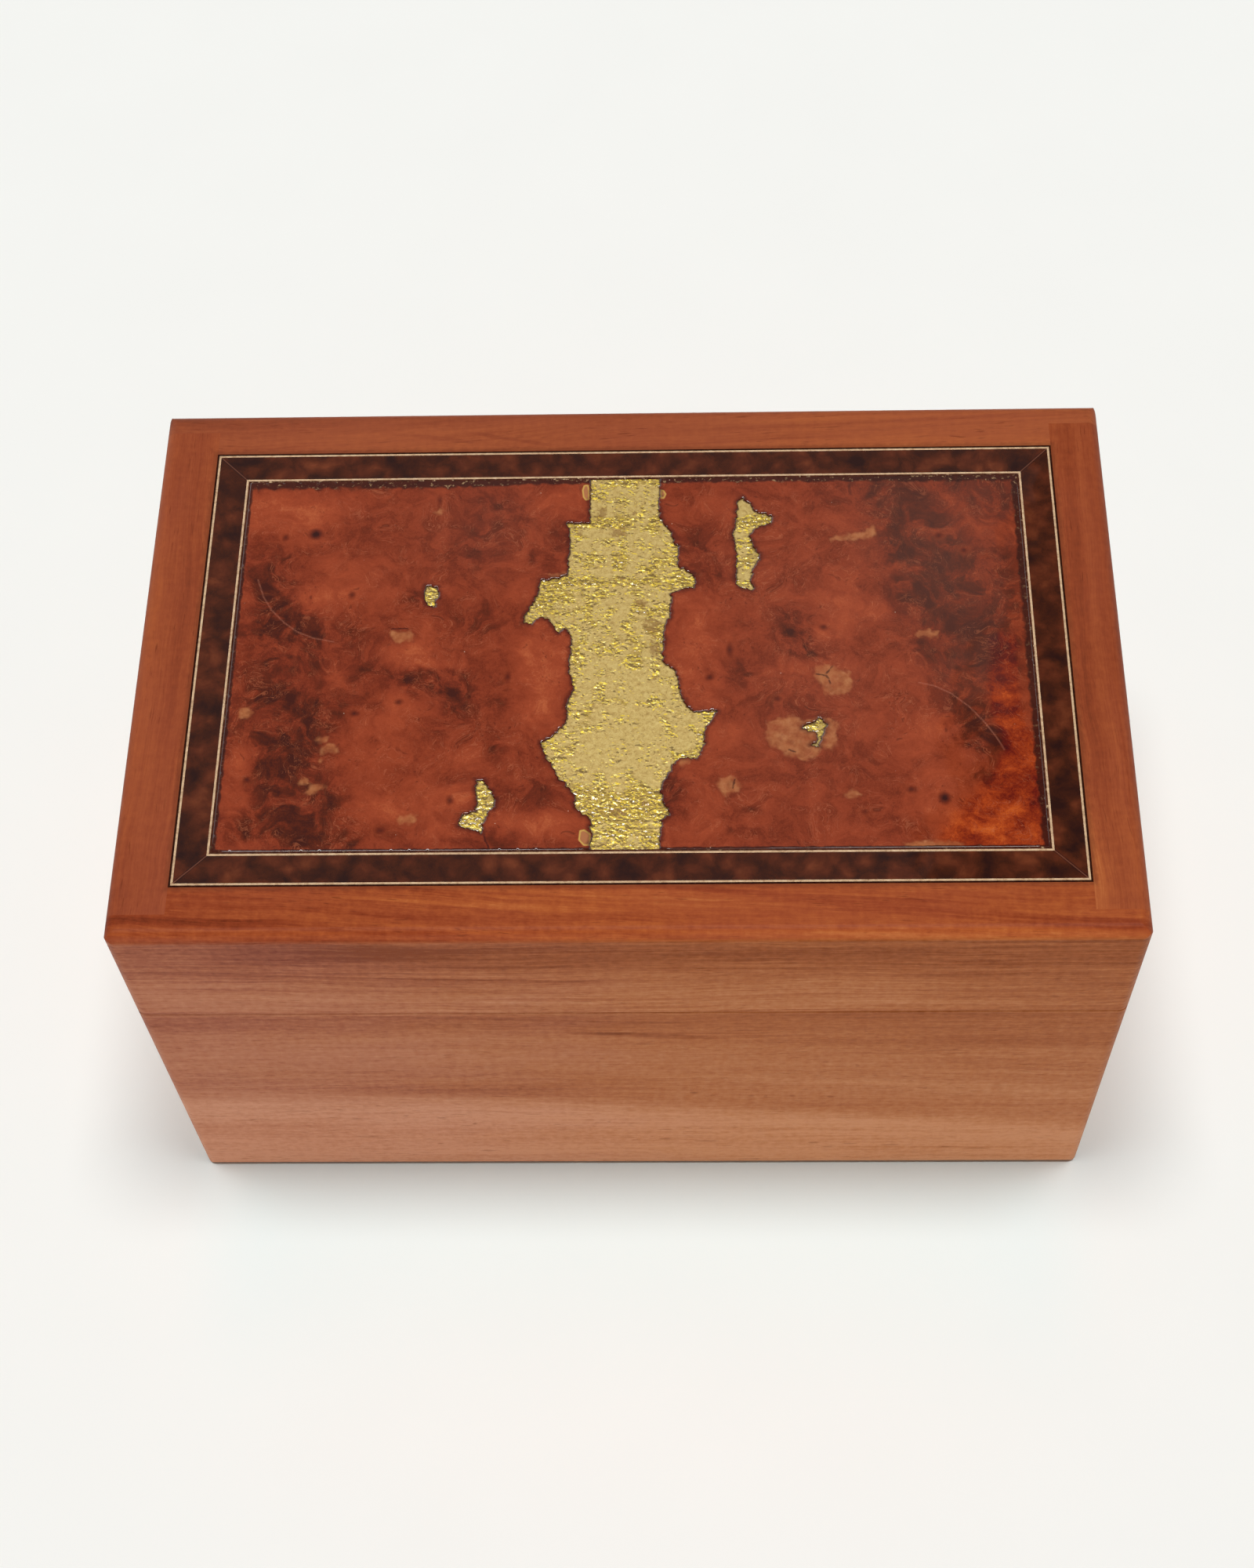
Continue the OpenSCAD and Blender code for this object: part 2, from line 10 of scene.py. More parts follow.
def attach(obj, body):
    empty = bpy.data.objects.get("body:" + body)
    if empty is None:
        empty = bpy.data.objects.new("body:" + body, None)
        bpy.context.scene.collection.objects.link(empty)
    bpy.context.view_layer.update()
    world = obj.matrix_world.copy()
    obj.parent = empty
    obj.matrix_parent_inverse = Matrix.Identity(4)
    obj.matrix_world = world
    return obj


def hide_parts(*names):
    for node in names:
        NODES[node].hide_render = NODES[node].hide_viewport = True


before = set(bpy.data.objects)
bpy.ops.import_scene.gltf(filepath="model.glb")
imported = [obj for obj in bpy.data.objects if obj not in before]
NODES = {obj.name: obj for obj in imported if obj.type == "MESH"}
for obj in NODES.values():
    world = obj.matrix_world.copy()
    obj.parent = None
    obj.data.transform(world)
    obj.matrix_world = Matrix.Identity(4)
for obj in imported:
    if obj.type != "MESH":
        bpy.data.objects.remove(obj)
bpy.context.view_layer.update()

# The drawing of the case has its middle at Y 0; the model's Y is this much (mm) less.
Y_SHIFT = -2.816035
Z_TOP = 162.0
Z_INLAY = 160.8
SPLIT = 114.5
PANEL_X = (-112.75, 114.25)
PANEL_Y = (-62.5, 62.5)


# ---------------------------------------------------------------- outlines, mm

RIVER_L = [
    (-11.2, 90), (-11.2, 56), (-11.3, 50), (-11.4, 47.7), (-15, 47.6), (-18.2, 47.9), (-17.3, 46),
    (-16.8, 42), (-17, 38), (-17.5, 34), (-17.1, 30), (-17.4, 28.9), (-19.6, 28.4), (-22, 27.5),
    (-25, 27.2), (-25.5, 25.4), (-26.8, 20), (-28.2, 17), (-29.9, 14), (-29.8, 12), (-27.6, 12.3),
    (-25.2, 13.9), (-23, 14), (-21.5, 12), (-20.2, 9.6), (-19.5, 8.5), (-18.6, 10.2), (-17, 10),
    (-16.2, 8), (-15.7, 5), (-15.9, 2), (-16.4, -1), (-16.2, -5), (-15.4, -8), (-15, -11),
    (-16.2, -14), (-17, -17.5), (-16.5, -20), (-17.6, -23), (-19.4, -25.2), (-21.2, -26.8),
    (-23.9, -28.2), (-23.6, -30), (-22.6, -32.5), (-21, -35), (-19.7, -38), (-18.6, -40.2),
    (-16.6, -42), (-15, -44), (-13.8, -46.5), (-13.9, -48.6), (-13.4, -50.2), (-12, -51.5),
    (-10.2, -52.6), (-9, -54), (-9.5, -56), (-9.2, -58), (-9.4, -61), (-9.2, -90),
]
RIVER_R = [
    (9.6, -90), (9.7, -60), (9.9, -56), (10, -53.5), (11, -53), (12.4, -52), (11.5, -50),
    (10.3, -47.5), (9.9, -45), (10, -42.6), (10.8, -40.8), (11.6, -40), (11.9, -38.6),
    (12.7, -37.8), (12.9, -36.2), (14, -35), (15.6, -34), (18, -33.7), (20.3, -34.2),
    (20.9, -32), (21.9, -29.5), (22.2, -26), (22.4, -24), (24, -21.5), (25.9, -18.3),
    (25, -17.9), (22, -18.4), (19.8, -18.9), (18.3, -18), (16.6, -16.2), (15.9, -13),
    (15.2, -11), (14.6, -7), (14, -4.6), (12.6, -3.8), (11.4, -2.5), (10.4, -1), (10.5, 3),
    (10.6, 7), (11, 10), (11.6, 13), (12.6, 14.5), (12.4, 17), (13, 20), (12.4, 22),
    (14.2, 23), (17, 24), (19.6, 24.2), (20, 26.5), (19.4, 28.5), (17.4, 30), (15.5, 31),
    (14.8, 33), (14.7, 36.5), (14.8, 39), (13.7, 40), (13, 43.5), (12.3, 45), (10.8, 47),
    (9.7, 49), (9.2, 52), (9.3, 56), (9.5, 60), (9.5, 90),
]
CHIP_TALL = [
    (32.6, 55), (33.4, 56.2), (34.4, 56.3), (35.2, 54.6), (36.2, 54), (37.2, 52), (38.2, 51),
    (40, 50.3), (42.2, 49.6), (42.8, 48.5), (42.3, 47.2), (40.6, 46.2), (38, 45.2), (36.8, 44.2),
    (36, 42.4), (36.2, 40.4), (36.9, 38.6), (37.8, 37), (38.6, 35.4), (38.8, 34), (38, 32.8),
    (37, 31.8), (36.6, 30), (36.1, 28), (36, 26), (36.6, 24.4), (36.8, 23.3), (35.6, 23.2),
    (34.6, 23.7), (33, 23.9), (32.4, 24.2), (31.8, 26), (31.7, 28), (31.9, 31), (32.2, 34),
    (32.2, 36), (31.7, 38), (31.5, 41), (31, 43), (31.5, 45.2), (32.1, 48), (32.4, 51),
]
CHIP_SMALL = [
    (-58.6, 25.4), (-57.5, 25.5), (-56.2, 25.2), (-55.4, 24.8), (-55, 24), (-54.9, 22.5),
    (-55, 21), (-56, 20.6), (-56.1, 20), (-55.8, 19.4), (-55.6, 18.4), (-56.4, 18.2),
    (-57.6, 18.7), (-58.4, 19.5), (-58.9, 20.8), (-59.1, 22.5), (-58.9, 24.2),
]
CHIP_HOOK = [
    (-41.4, -40.9), (-40.4, -40.7), (-39.3, -41.3), (-38.2, -42.6), (-37.4, -44), (-36.6, -45.4),
    (-36.2, -47), (-36.4, -48.8), (-37, -49.8), (-37.6, -50.2), (-38, -51.8), (-38.6, -53),
    (-39, -53.8), (-39.4, -54.8), (-39.2, -56.4), (-39.4, -57.6), (-40.6, -57), (-42.6, -56.2),
    (-44.6, -55.6), (-45.8, -55.2), (-45.9, -54.2), (-45.4, -52.8), (-44.8, -52), (-43.4, -51.4),
    (-42.4, -51), (-41, -50.6), (-41.4, -49.8), (-41.6, -49.2), (-41.1, -48.6), (-40.9, -47.4),
    (-41.2, -45.8), (-41.5, -44), (-41.6, -42.4),
]
CHIP_STAR = [
    (49.7, -23.8), (51, -23.2), (52.4, -22.6), (53.6, -21.8), (54.4, -20.9), (55.2, -21.4),
    (55.6, -22.4), (56.6, -23.2), (56.4, -23.8), (55.8, -24.4), (55.5, -25.6), (55, -27.2),
    (54.6, -28.6), (54.2, -29.8), (54, -30.6), (53, -30.5), (51.8, -30.1), (52.4, -29.7),
    (53.3, -29.3), (53.8, -28), (53.8, -26.6), (53.5, -25.6), (52, -25.5), (51.2, -25.4),
    (50.6, -24.9), (49.8, -24.6),
]

# Pale filler that closes small holes in the two veneer halves
FILLERS = [
    [(-67.9, 9.9), (-65, 9.3), (-62.6, 9.9), (-61.5, 8.2), (-61.8, 6.3), (-64, 5.8), (-66.5, 5.5),
     (-67.2, 7), (-68.4, 8.6)],
    [(-109.7, -15.9), (-107, -16.1), (-106, -18), (-106.2, -19.5), (-108.8, -19.9), (-109.9, -18)],
    [(-88, -27.4), (-86, -26.1), (-84.1, -26.3), (-83.9, -27.7), (-86, -28.1)],
    [(-86.1, -30.3), (-84.6, -28.5), (-82, -28.3), (-80.5, -29.6), (-80.8, -31.1), (-82.6, -31.1),
     (-84.4, -30.9), (-85.5, -32.2)],
    [(-86.3, -33.6), (-85.5, -32.8), (-84.7, -33.6), (-85.3, -34.8), (-86, -34.6)],
    [(-91.6, -40.6), (-90.4, -39.5), (-88.6, -39.9), (-88.3, -41.3), (-90.4, -41.9)],
    [(-88.7, -43.6), (-87.4, -41.7), (-84.8, -41.5), (-83.3, -42.4), (-85, -43.5), (-86.8, -44.9),
     (-88.5, -45.3)],
    [(-63.1, -53), (-60.4, -51.5), (-57.6, -51.7), (-57.3, -53.2), (-59.4, -54.7), (-62, -54.5)],
    [(-57.6, 51.9), (-55.7, 53.5), (-54.5, 52.9), (-55.3, 51.3)],
    [(-22.6, 29.2), (-19, 29.8), (-17.6, 30.2), (-17.4, 28.7), (-19.6, 28.2), (-22.2, 27.3)],
    [(59.5, 41.1), (62.5, 42.1), (66, 42.7), (69.4, 43.1), (71, 44.3), (72.4, 45.6), (73.1, 44),
     (72.7, 41.9), (70.6, 40.7), (67, 40.1), (63, 40.3), (60, 40.1)],
    [(82.7, 7), (84.4, 8.1), (86.4, 8.5), (87, 7.3), (89.1, 7.7), (88.7, 5.7), (86, 5.9),
     (83.6, 5.7)],
    [(54, -3.6), (57.6, -3.1), (60, -4.9), (63.4, -5.9), (64.3, -9), (63.1, -12.7), (60, -13.5),
     (56.4, -13.1), (55.6, -10), (53.3, -7)],
    [(39, -27), (40, -22), (44, -21), (47, -20.3), (50, -22), (54, -21), (58, -21.5), (60, -23),
     (59, -27), (59, -30), (57.5, -31.6), (55, -31), (53, -34), (50, -35.2), (48, -34.5),
     (45, -33.5), (44, -31.8), (42, -31), (40.5, -30)],
    [(25.3, -42), (27, -40.5), (29.4, -39.9), (31.5, -41.4), (32.5, -43.4), (31.4, -45.1),
     (29.4, -44.9), (28, -46.5), (26.6, -45.5), (26.3, -43.6)],
    [(60.5, -45.8), (62, -44.7), (64.2, -44.9), (65.3, -46), (64, -47.1), (61.6, -47.1)],
    [(15, -34.2), (16.5, -33.8), (18.2, -34.1), (17.6, -36), (16, -37), (15, -36.2)],
    [(76, -61.6), (83, -60.9), (92, -61.3), (92, -64), (76, -64)],
]

# Clear lobes beside the gold, with leaf showing through
LOBES = [
    [(-13.2, 61.7), (-11.7, 61.8), (-11.4, 59), (-11.4, 56.2), (-12.6, 55.9), (-13.4, 57.2), (-13.7, 59.8)],
    [(-12.4, -56.9), (-11, -56.6), (-9.2, -58), (-9.3, -61.8), (-11.2, -61.8), (-12.7, -60)],
    [(9.6, 59.8), (10.8, 59.4), (11.5, 58), (10.9, 56.3), (9.7, 56.2)],
]

# Dark places in the burl: x, y, half width, half height, strength
DARK = [
    (-106, 25, 6, 4, .55), (-102, 18, 6, 5, .7), (-96, 12, 6, 4, .6), (-89, 8, 6, 3, .45),
    (-100, 33, 5, 3, .45), (-106, 41, 5, 2.6, .4), (-110, 32, 4, 4, .4), (-108, 8, 6, 5, .35),
    (-100, 2, 8, 5, .4), (-88, 0, 9, 4, .3), (-78, 8, 9, 3, .22), (-74, -4, 6, 4, .35),
    (-91, -14, 8, 6, .8), (-104, -12, 8, 6, .45), (-86, -19, 5, 3, .55), (-100, -25, 9, 4, .7),
    (-94, -32, 8, 6, .75), (-92, -43, 7, 6, .5), (-98, -38, 5, 7, .55), (-85, -48, 6, 4, .6),
    (-98, -47, 4, 3, .5), (-103, -54, 6, 4, .5), (-90, -57, 7, 4, .75), (-80, -60, 8, 3, .6),
    (-106, -41, 2, 1.6, .5), (-112, -22, 3, 5, .3), (-67, -56.5, 2, 1.4, .6),
    (-62.5, 20.5, 2.4, 1.8, .7), (-63, -7, 4, 3, .6), (-55, -8, 6, 2.6, .65),
    (-48.5, -13, 4, 6, .6), (-43, 10, 5, 6, .35), (-47, 16, 4, 4, .3), (-40, -18, 6, 5, .3),
    (-37, -31, 2.4, 3.2, .55), (-50, -40, 6, 3, .3), (-53, -22, 5, 3, .25), (-37, 56, 8, 5, .25),
    (-40, 44, 8, 8, .25), (-45, 36, 1.6, 6, .3), (-55, 42, 7, 6, .2), (-76, 50, 5, 8, .12),
    (-27, -46, 6, 5, .45), (-34, -60, 7, 2.4, .45), (-21, 33, 3, 9, .22), (-20, 45, 3, 6, .15),
    (-34, -8, 3, 6, .3), (-72, -14, 3, 3, .3), (-28.4, 35, 1, 2.4, .55),
    (21, 36, 6, 6, .35), (27, 28, 5, 4, .2), (22, 46, 5, 5, .25), (47, 9, 4, 6, .55),
    (52, 2.5, 4.5, 3.4, .5), (49, 15, 4, 2, .3), (33, -6, 5, 4.4, .5), (23.5, -7, 1.6, 1.4, .4),
    (42.5, -14, 2.6, 4, .4), (51, -17, 6, 3, .3), (12.6, -43.5, 2.4, 6, .75),
    (14, -51.5, 3, 2, .7), (70, 60, 8, 3, .45), (83, 57, 9, 6, .75), (80, 45, 6, 7, .55),
    (97, 60, 3, 2.6, .8), (108, 57, 7, 5, .5), (92, 45, 4, 5, .5), (79, 36, 5, 3, .6),
    (90, 33, 8, 6, .75), (84, 21, 8, 4, .75), (98, 24, 7, 8, .5), (94, 12, 9, 6, .8),
    (103, 9, 7, 5, .65), (96, -5, 6, 5, .75), (103, -3, 3, 6, .6), (86, 2, 6, 3, .4),
    (109, 33, 3, 4, .45), (110, 20, 4, 6, .4), (108, 48, 5, 3, .15), (96, -23, 4, 6, .75),
    (100, -28, 3, 5, .8), (91, -16, 5, 2.4, .35), (100, -41, 3, 3, .55), (75, -45, 3, 2, .35),
    (80, -57, 6, 3, .25), (34, -51, 3, 1.2, .45), (43, -57, 3, 1.2, .4), (30, -57, 3, 1.4, .35),
    (68, 8, 3, 6, .2), (60, -36, 8, 5, .12), (70, -52, 6, 3, .2), (113, -60, 4, 3, .6),
    (62, 53, 7, 3, .2), (46, 30, 6, 3, .2), (112, 55, 4, 6, .4), (-108, -56, 5, 5, .3), (-96, -56, 6, 5, .25),
]
# Brighter places, in the same form
BRIGHT = [
    (-103, 55, 8, 5, .6), (-95, 51, 6, 6, .55), (-110, 50, 4, 6, .4), (-99, 45, 8, 4, .35),
    (-84, 54, 8, 4, .25), (-89, 22, 7, 4, .7), (-84, 31, 7, 4, .45), (-76, 24, 7, 5, .3),
    (-110, 22, 2, 4, .5), (-62, 2.5, 6, 3.4, .75), (-57, -1.8, 9, 1.6, .5), (-58, 10, 2, 6, .35),
    (-24, -3, 7, 9, .75), (-24, -17, 6, 6, .7), (-28, 5, 4, 4, .35), (-21, 56, 9, 3.6, .65),
    (-66, -17, 5, 7, .4), (-76, -24, 4, 5, .45), (-60, -15, 4, 4, .3), (-69, -33, 10, 5, .35),
    (-83, -6, 3, 5, .55), (-56, -46, 8, 5, .55), (-47, -45, 4, 4, .7), (-70, -48, 6, 5, .4),
    (-66, -52, 8, 3, .35), (-52, -57, 5, 3, .45), (-20, -55, 9, 4, .8), (-30, -53, 5, 3, .4),
    (-108, -33, 3, 7, .75), (-108, -48, 4, 6, .5), (-103, -61, 6, 2, .35), (-29, 22, 3, 10, .25),
    (-31, 40, 4, 5, .25), (-72, 34, 6, 4, .2), (-46, -33, 7, 4, .25), (-52, 24, 6, 2, .25),
    (19, 12, 7, 8, .6), (19, -4, 6, 9, .5), (26, -12, 5, 4, .25), (14, 52, 3, 4, .4),
    (26, 52, 5, 5, .35), (55.5, 6.5, 3, 3, .6), (62, 12, 5, 7, .45), (71, 15, 5, 4, .6),
    (54, 20, 8, 2.6, .35), (50, -4, 9, 2.4, .4), (63, 27, 6, 4, .3), (88, 59, 4, 2.6, .55),
    (94.5, 54, 3, 3.6, .4), (106, 43, 6, 4, .25), (112, 45, 3, 6, .15), (64, 49, 9, 3, .25),
    (85, -25, 5, 5, .6), (80, -32, 5, 3, .45), (93, -33, 4, 3, .35), (88, -41, 7, 3, .5),
    (85, -50, 6, 5, .65), (75, -47, 5, 4, .3), (20, -33, 6, 7, .4), (27, -26, 6, 5, .3),
    (20, -50, 6, 5, .3), (18, -59, 9, 3, .45), (37, -50, 6, 5, .15), (62, -58, 9, 3, .2),
    (76, -4, 4, 8, .25), (97, -57, 7, 4, .55), (70, -22, 7, 5, .2), (45, 40, 6, 6, .15),
]
# Knots and small dark eyes: x, y, half width, half height
EYES = [
    (-92.2, 44.3, 1.9, 1.8), (87.8, -47.4, 1.6, 1.8), (29.7, 2.2, .8, 1.9), (29.4, -42.4, .9, 1.1),
    (-33.8, -6.4, .6, 1.3), (-56, 56.2, .5, 1.6), (-80.2, 22.4, .7, 1), (-101, 43.2, .7, .9),
    (23.8, -7.2, .9, .8), (43, -14.5, .8, .6), (-64.5, -14.6, .9, .7), (-77, -18.4, 1.2, .9),
    (56.6, 9.6, .9, .7), (79, -44.6, 1.2, .9), (-67.3, -56.5, 1.2, .8), (91, 41.5, .9, .8),
    (-105.5, -40, .9, .8), (66, -51.6, .6, .5), (98, 36, .8, .8), (-48.6, -47, .8, 1.1),
]
# Where the finish is clear and the veneer looks deep red, in the right front corner
WET = [
    (102.5, 5.5), (105.5, 7), (109.5, 5.5), (110.5, 2), (109.4, -3), (109.3, -9), (109.8, -16),
    (110.5, -23), (112.6, -29), (114.8, -33), (114.8, -64), (84, -64), (87, -56), (92, -49),
    (97.5, -43), (101.5, -38), (103.6, -32), (103.2, -26), (101.4, -20), (100.8, -12), (101.8, -4),
]
WET_DARK = [
    (108, 4, 3.4, 1.6, .9), (103.4, -3, 1.2, 4, .5), (105.5, -9.6, 2.4, 1.4, .6), (106, -18.8, 4.4, 1.7, .8),
    (103.4, -28, 2, 3, .5), (108.6, -25.4, 2, 1.6, .7), (107, -31, 3, 2, .35), (104, -47, 2, 1.8, .5),
    (110, -50, 1.6, 1.3, .7), (107.5, -55, 1.6, 2, .5), (100, -52, 1.6, 1.6, .4), (96, -60, 3, 1.4, .5),
    (108, -7, 3, 5, .35), (111, -41, 3, 5, .5), (113, -54, 2, 5, .5), (91, -57, 2, 1.6, .4), (104, -59, 1.4, 1.4, .4),
]
WET_BRIGHT = [
    (105, -14.6, 4.4, 1.7, .8), (104.6, -22.2, 3.4, 1.7, .6), (105, -6, 2, 2, .3), (106, -36, 3, 3, .25),
    (105, -50, 3.4, 3, .8), (100, -57, 5, 4, .45), (108, -60, 3, 3, .3), (97, -48, 4, 3, .35), (90, -60, 5, 2, .3),
]
# Turns in the figure, as centre and size
SWIRLS = [
    (-57, -13, 11), (-62, 3, 6), (-24, -6, 9), (-92, 44, 8), (-88, 21, 9), (55, 7, 8),
    (58, -8, 8), (29, 2, 7), (88, -27, 9), (87.8, -47, 9), (20, 12, 9), (-60, -46, 9),
    (-98, -24, 8), (100, 25, 9), (-40, 50, 9), (66, 28, 8), (-74, -30, 8), (29, -42, 7),
]


def settle(x, y):
    """The outlines were drawn on a flat plan of the panel with a slight stretch; this takes it out."""
    a, b = x / 100, y / 100
    dx = -.38 - 1.13 * a - .03 * b + .20 * a * a + .13 * a * b + .46 * a**3 + .32 * a * b * b
    dy = -.49 + .05 * a - 1.50 * b + .23 * a * a + .18 * a * b + .30 * b * b + .44 * a * a * b + .31 * b**3
    return (x + dx, y + dy)


def settled(rows):
    return [settle(*r[:2]) + tuple(r[2:]) for r in rows]


RIVER_L, RIVER_R = settled(RIVER_L), settled(RIVER_R)
CHIP_TALL, CHIP_SMALL = settled(CHIP_TALL), settled(CHIP_SMALL)
CHIP_HOOK, CHIP_STAR = settled(CHIP_HOOK), settled(CHIP_STAR)
FILLERS = [settled(r) for r in FILLERS]
LOBES = [settled(r) for r in LOBES]
DARK, BRIGHT, EYES, SWIRLS = settled(DARK), settled(BRIGHT), settled(EYES), settled(SWIRLS)


# ------------------------------------------------------------- noise on arrays

_perm = np.random.default_rng(41).permutation(1024)
_turn = np.random.default_rng(43).uniform(0, 2 * np.pi, 1024)
_gx, _gy = np.cos(_turn), np.sin(_turn)


def wave(x, y, seed=0):
    """Smooth gradient noise on arrays, about -0.7 to 0.7."""
    xi, yi = np.floor(x).astype(int), np.floor(y).astype(int)
    xf, yf = x - xi, y - yi

    def corner(i, j):
        h = _perm[(_perm[(xi + i + seed * 37) & 1023] + yi + j + seed * 101) & 1023]
        return _gx[h] * (xf - i) + _gy[h] * (yf - j)

    u = xf * xf * xf * (xf * (xf * 6 - 15) + 10)
    v = yf * yf * yf * (yf * (yf * 6 - 15) + 10)
    a = corner(0, 0) * (1 - u) + corner(1, 0) * u
    b = corner(0, 1) * (1 - u) + corner(1, 1) * u
    return a * (1 - v) + b * v


def waves(x, y, octaves, seed=0, gain=0.5):
    total, size = 0.0, 1.0
    for k in range(octaves):
        total = total + size * wave(x * 2**k, y * 2**k, seed + 5 * k)
        size *= gain
    return total


def smooth(lo, hi, v):
    t = np.clip((v - lo) / (hi - lo), 0, 1)
    return t * t * (3 - 2 * t)


# ------------------------------------------------------------ plates with holes

def resample(ring, step):
    out = []
    for (x0, y0), (x1, y1) in zip(ring, ring[1:] + ring[:1]):
        n = max(1, int(round(math.hypot(x1 - x0, y1 - y0) / step)))
        out += [(x0 + (x1 - x0) * i / n, y0 + (y1 - y0) * i / n) for i in range(n)]
    return out


def inside(points, rings):
    """Even-odd test of points against closed rings."""
    hit = np.zeros(len(points), bool)
    px, py = points[:, 0], points[:, 1]
    for ring in rings:
        r = np.array(ring, float)
        for (x0, y0), (x1, y1) in zip(r, np.roll(r, -1, 0)):
            if y0 == y1:
                continue
            cross = (y0 > py) != (y1 > py)
            hit ^= cross & (px < (x1 - x0) * (py - y0) / (y1 - y0) + x0)
    return hit


def line_distance(points, lines, closed=True):
    """Distance of each point from the nearest of the lines."""
    best = np.full(len(points), 1e9)
    for line in lines:
        if not len(line):
            continue
        r = np.array(line, float)
        ends = np.roll(r, -1, 0) if closed else r[1:]
        for a, b in zip(r, ends):
            d = b - a
            t = np.clip(((points - a) @ d) / max(d @ d, 1e-12), 0, 1)
            best = np.minimum(best, np.hypot(*(points - a - t[:, None] * d).T))
    return best


def crop_ring(ring, lo, hi, axis, keep_above):
    """Sutherland-Hodgman cut of a ring at one straight line."""
    limit = lo if keep_above else hi
    good = (lambda p: p[axis] >= limit) if keep_above else (lambda p: p[axis] <= limit)
    out = []
    for p, q in zip(ring, ring[1:] + ring[:1]):
        if good(p):
            out.append(p)
        if good(p) != good(q):
            t = (limit - p[axis]) / (q[axis] - p[axis])
            out.append((p[0] + t * (q[0] - p[0]), p[1] + t * (q[1] - p[1])))
    return out


def crop(ring):
    for axis, (lo, hi) in ((0, PANEL_X), (1, PANEL_Y)):
        ring = crop_ring(ring, lo, hi, axis, True)
        ring = crop_ring(ring, lo, hi, axis, False)
    clean = [p for i, p in enumerate(ring) if math.dist(p, ring[i - 1]) > 1e-6]
    return clean


def plate(name, rings, step, rim_step, z_top, z_bottom, lift=None, jitter=0.0):
    """A closed plate (mm, case-centred) with a finely divided upper face. rings[0] is the
    outline and the others are holes. lift gives each upper point's height above z_top."""
    rims = [resample(r, rim_step) for r in rings]
    rim = np.array([p for r in rims for p in r])
    edges, at = [], 0
    for r in rims:
        n = len(r)
        edges += [(at + i, at + (i + 1) % n) for i in range(n)]
        at += n
    (x0, y0), (x1, y1) = rim.min(0), rim.max(0)
    rows = np.arange(y0 + step * 0.5, y1, step * 0.866)
    grid = np.concatenate([
        np.stack([np.arange(x0 + step * (0.5 if i % 2 else 0.98), x1, step), np.full(len(np.arange(x0 + step * (0.5 if i % 2 else 0.98), x1, step)), y)], 1)
        for i, y in enumerate(rows)
    ])
    if jitter:
        grid = grid + np.random.default_rng(len(grid)).uniform(-jitter, jitter, grid.shape) * step
    grid = grid[inside(grid, rims)]
    grid = grid[line_distance_near(grid, rim, 0.55 * min(step, rim_step))]
    points = np.concatenate([rim, grid])
    verts, _, faces, *_ = delaunay_2d_cdt([Vector(p) for p in points], edges, [], 0, 1e-5)
    verts = np.array([(v.x, v.y) for v in verts])
    faces = np.array(faces)
    faces = faces[inside(verts[faces].mean(1), rims)]
    a, b, c = (verts[faces[:, i]] for i in range(3))
    area = (b[:, 0] - a[:, 0]) * (c[:, 1] - a[:, 1]) - (b[:, 1] - a[:, 1]) * (c[:, 0] - a[:, 0])
    faces[area < 0] = faces[area < 0][:, ::-1]
    faces = faces[np.abs(area) > 1e-9]
    used = np.unique(faces)
    back = np.full(len(verts), -1)
    back[used] = np.arange(len(used))
    verts, faces = verts[used], back[faces]
    half = np.concatenate([faces[:, [0, 1]], faces[:, [1, 2]], faces[:, [2, 0]]])
    keys = {}
    for i, j in half.tolist():
        keys[(i, j)] = True
    border = [(i, j) for i, j in keys if (j, i) not in keys]
    low_id = {v: len(verts) + k for k, v in enumerate(sorted({i for e in border for i in e}))}
    order = sorted(low_id, key=low_id.get)
    low = verts[order]
    low_edges = [(low_id[i] - len(verts), low_id[j] - len(verts)) for i, j in border]
    lv, _, lf, *_ = delaunay_2d_cdt([Vector(p) for p in low], low_edges, [], 0, 1e-5)
    lv = np.array([(v.x, v.y) for v in lv])
    lf = [f for f, ok in zip(lf, inside(np.array([lv[list(f)].mean(0) for f in lf]), rims)) if ok]
    bottom = []
    for f in lf:
        p, q, r = (lv[i] for i in f)
        s = (q[0] - p[0]) * (r[1] - p[1]) - (q[1] - p[1]) * (r[0] - p[0])
        if abs(s) > 1e-9:
            bottom.append([i + len(verts) for i in (f if s < 0 else f[::-1])])
    z = np.full(len(verts), z_top, float)
    if lift is not None:
        z += lift(verts[:, 0], verts[:, 1])
    top3 = np.column_stack([verts[:, 0], verts[:, 1] + Y_SHIFT, z]) / 1000
    low3 = np.column_stack([low[:, 0], low[:, 1] + Y_SHIFT, np.full(len(low), z_bottom)]) / 1000
    walls = [[j, i, low_id[i], low_id[j]] for i, j in border]
    mesh = bpy.data.meshes.new(name)
    mesh.from_pydata(np.concatenate([top3, low3]).tolist(), [], faces.tolist() + walls + bottom)
    mesh.update()
    flat = np.ones(len(mesh.polygons), bool)
    flat[: len(faces)] = False
    mesh.polygons.foreach_set("use_smooth", ~flat)
    piece = bpy.data.objects.new(name, mesh)
    bpy.context.scene.collection.objects.link(piece)
    everywhere = np.concatenate([verts, low])
    return piece, everywhere, len(verts)


def line_distance_near(points, rim, least):
    """True where a point is farther than least from every rim point."""
    cell = max(least, 0.5)
    taken = {}
    for p in rim:
        taken.setdefault((int(p[0] // cell), int(p[1] // cell)), []).append(p)
    keep = np.ones(len(points), bool)
    cx, cy = (points[:, 0] // cell).astype(int), (points[:, 1] // cell).astype(int)
    for k, (i, j) in enumerate(zip(cx.tolist(), cy.tolist())):
        for a in (i - 1, i, i + 1):
            for b in (j - 1, j, j + 1):
                for q in taken.get((a, b), ()):
                    if (points[k, 0] - q[0]) ** 2 + (points[k, 1] - q[1]) ** 2 < least * least:
                        keep[k] = False
    return keep


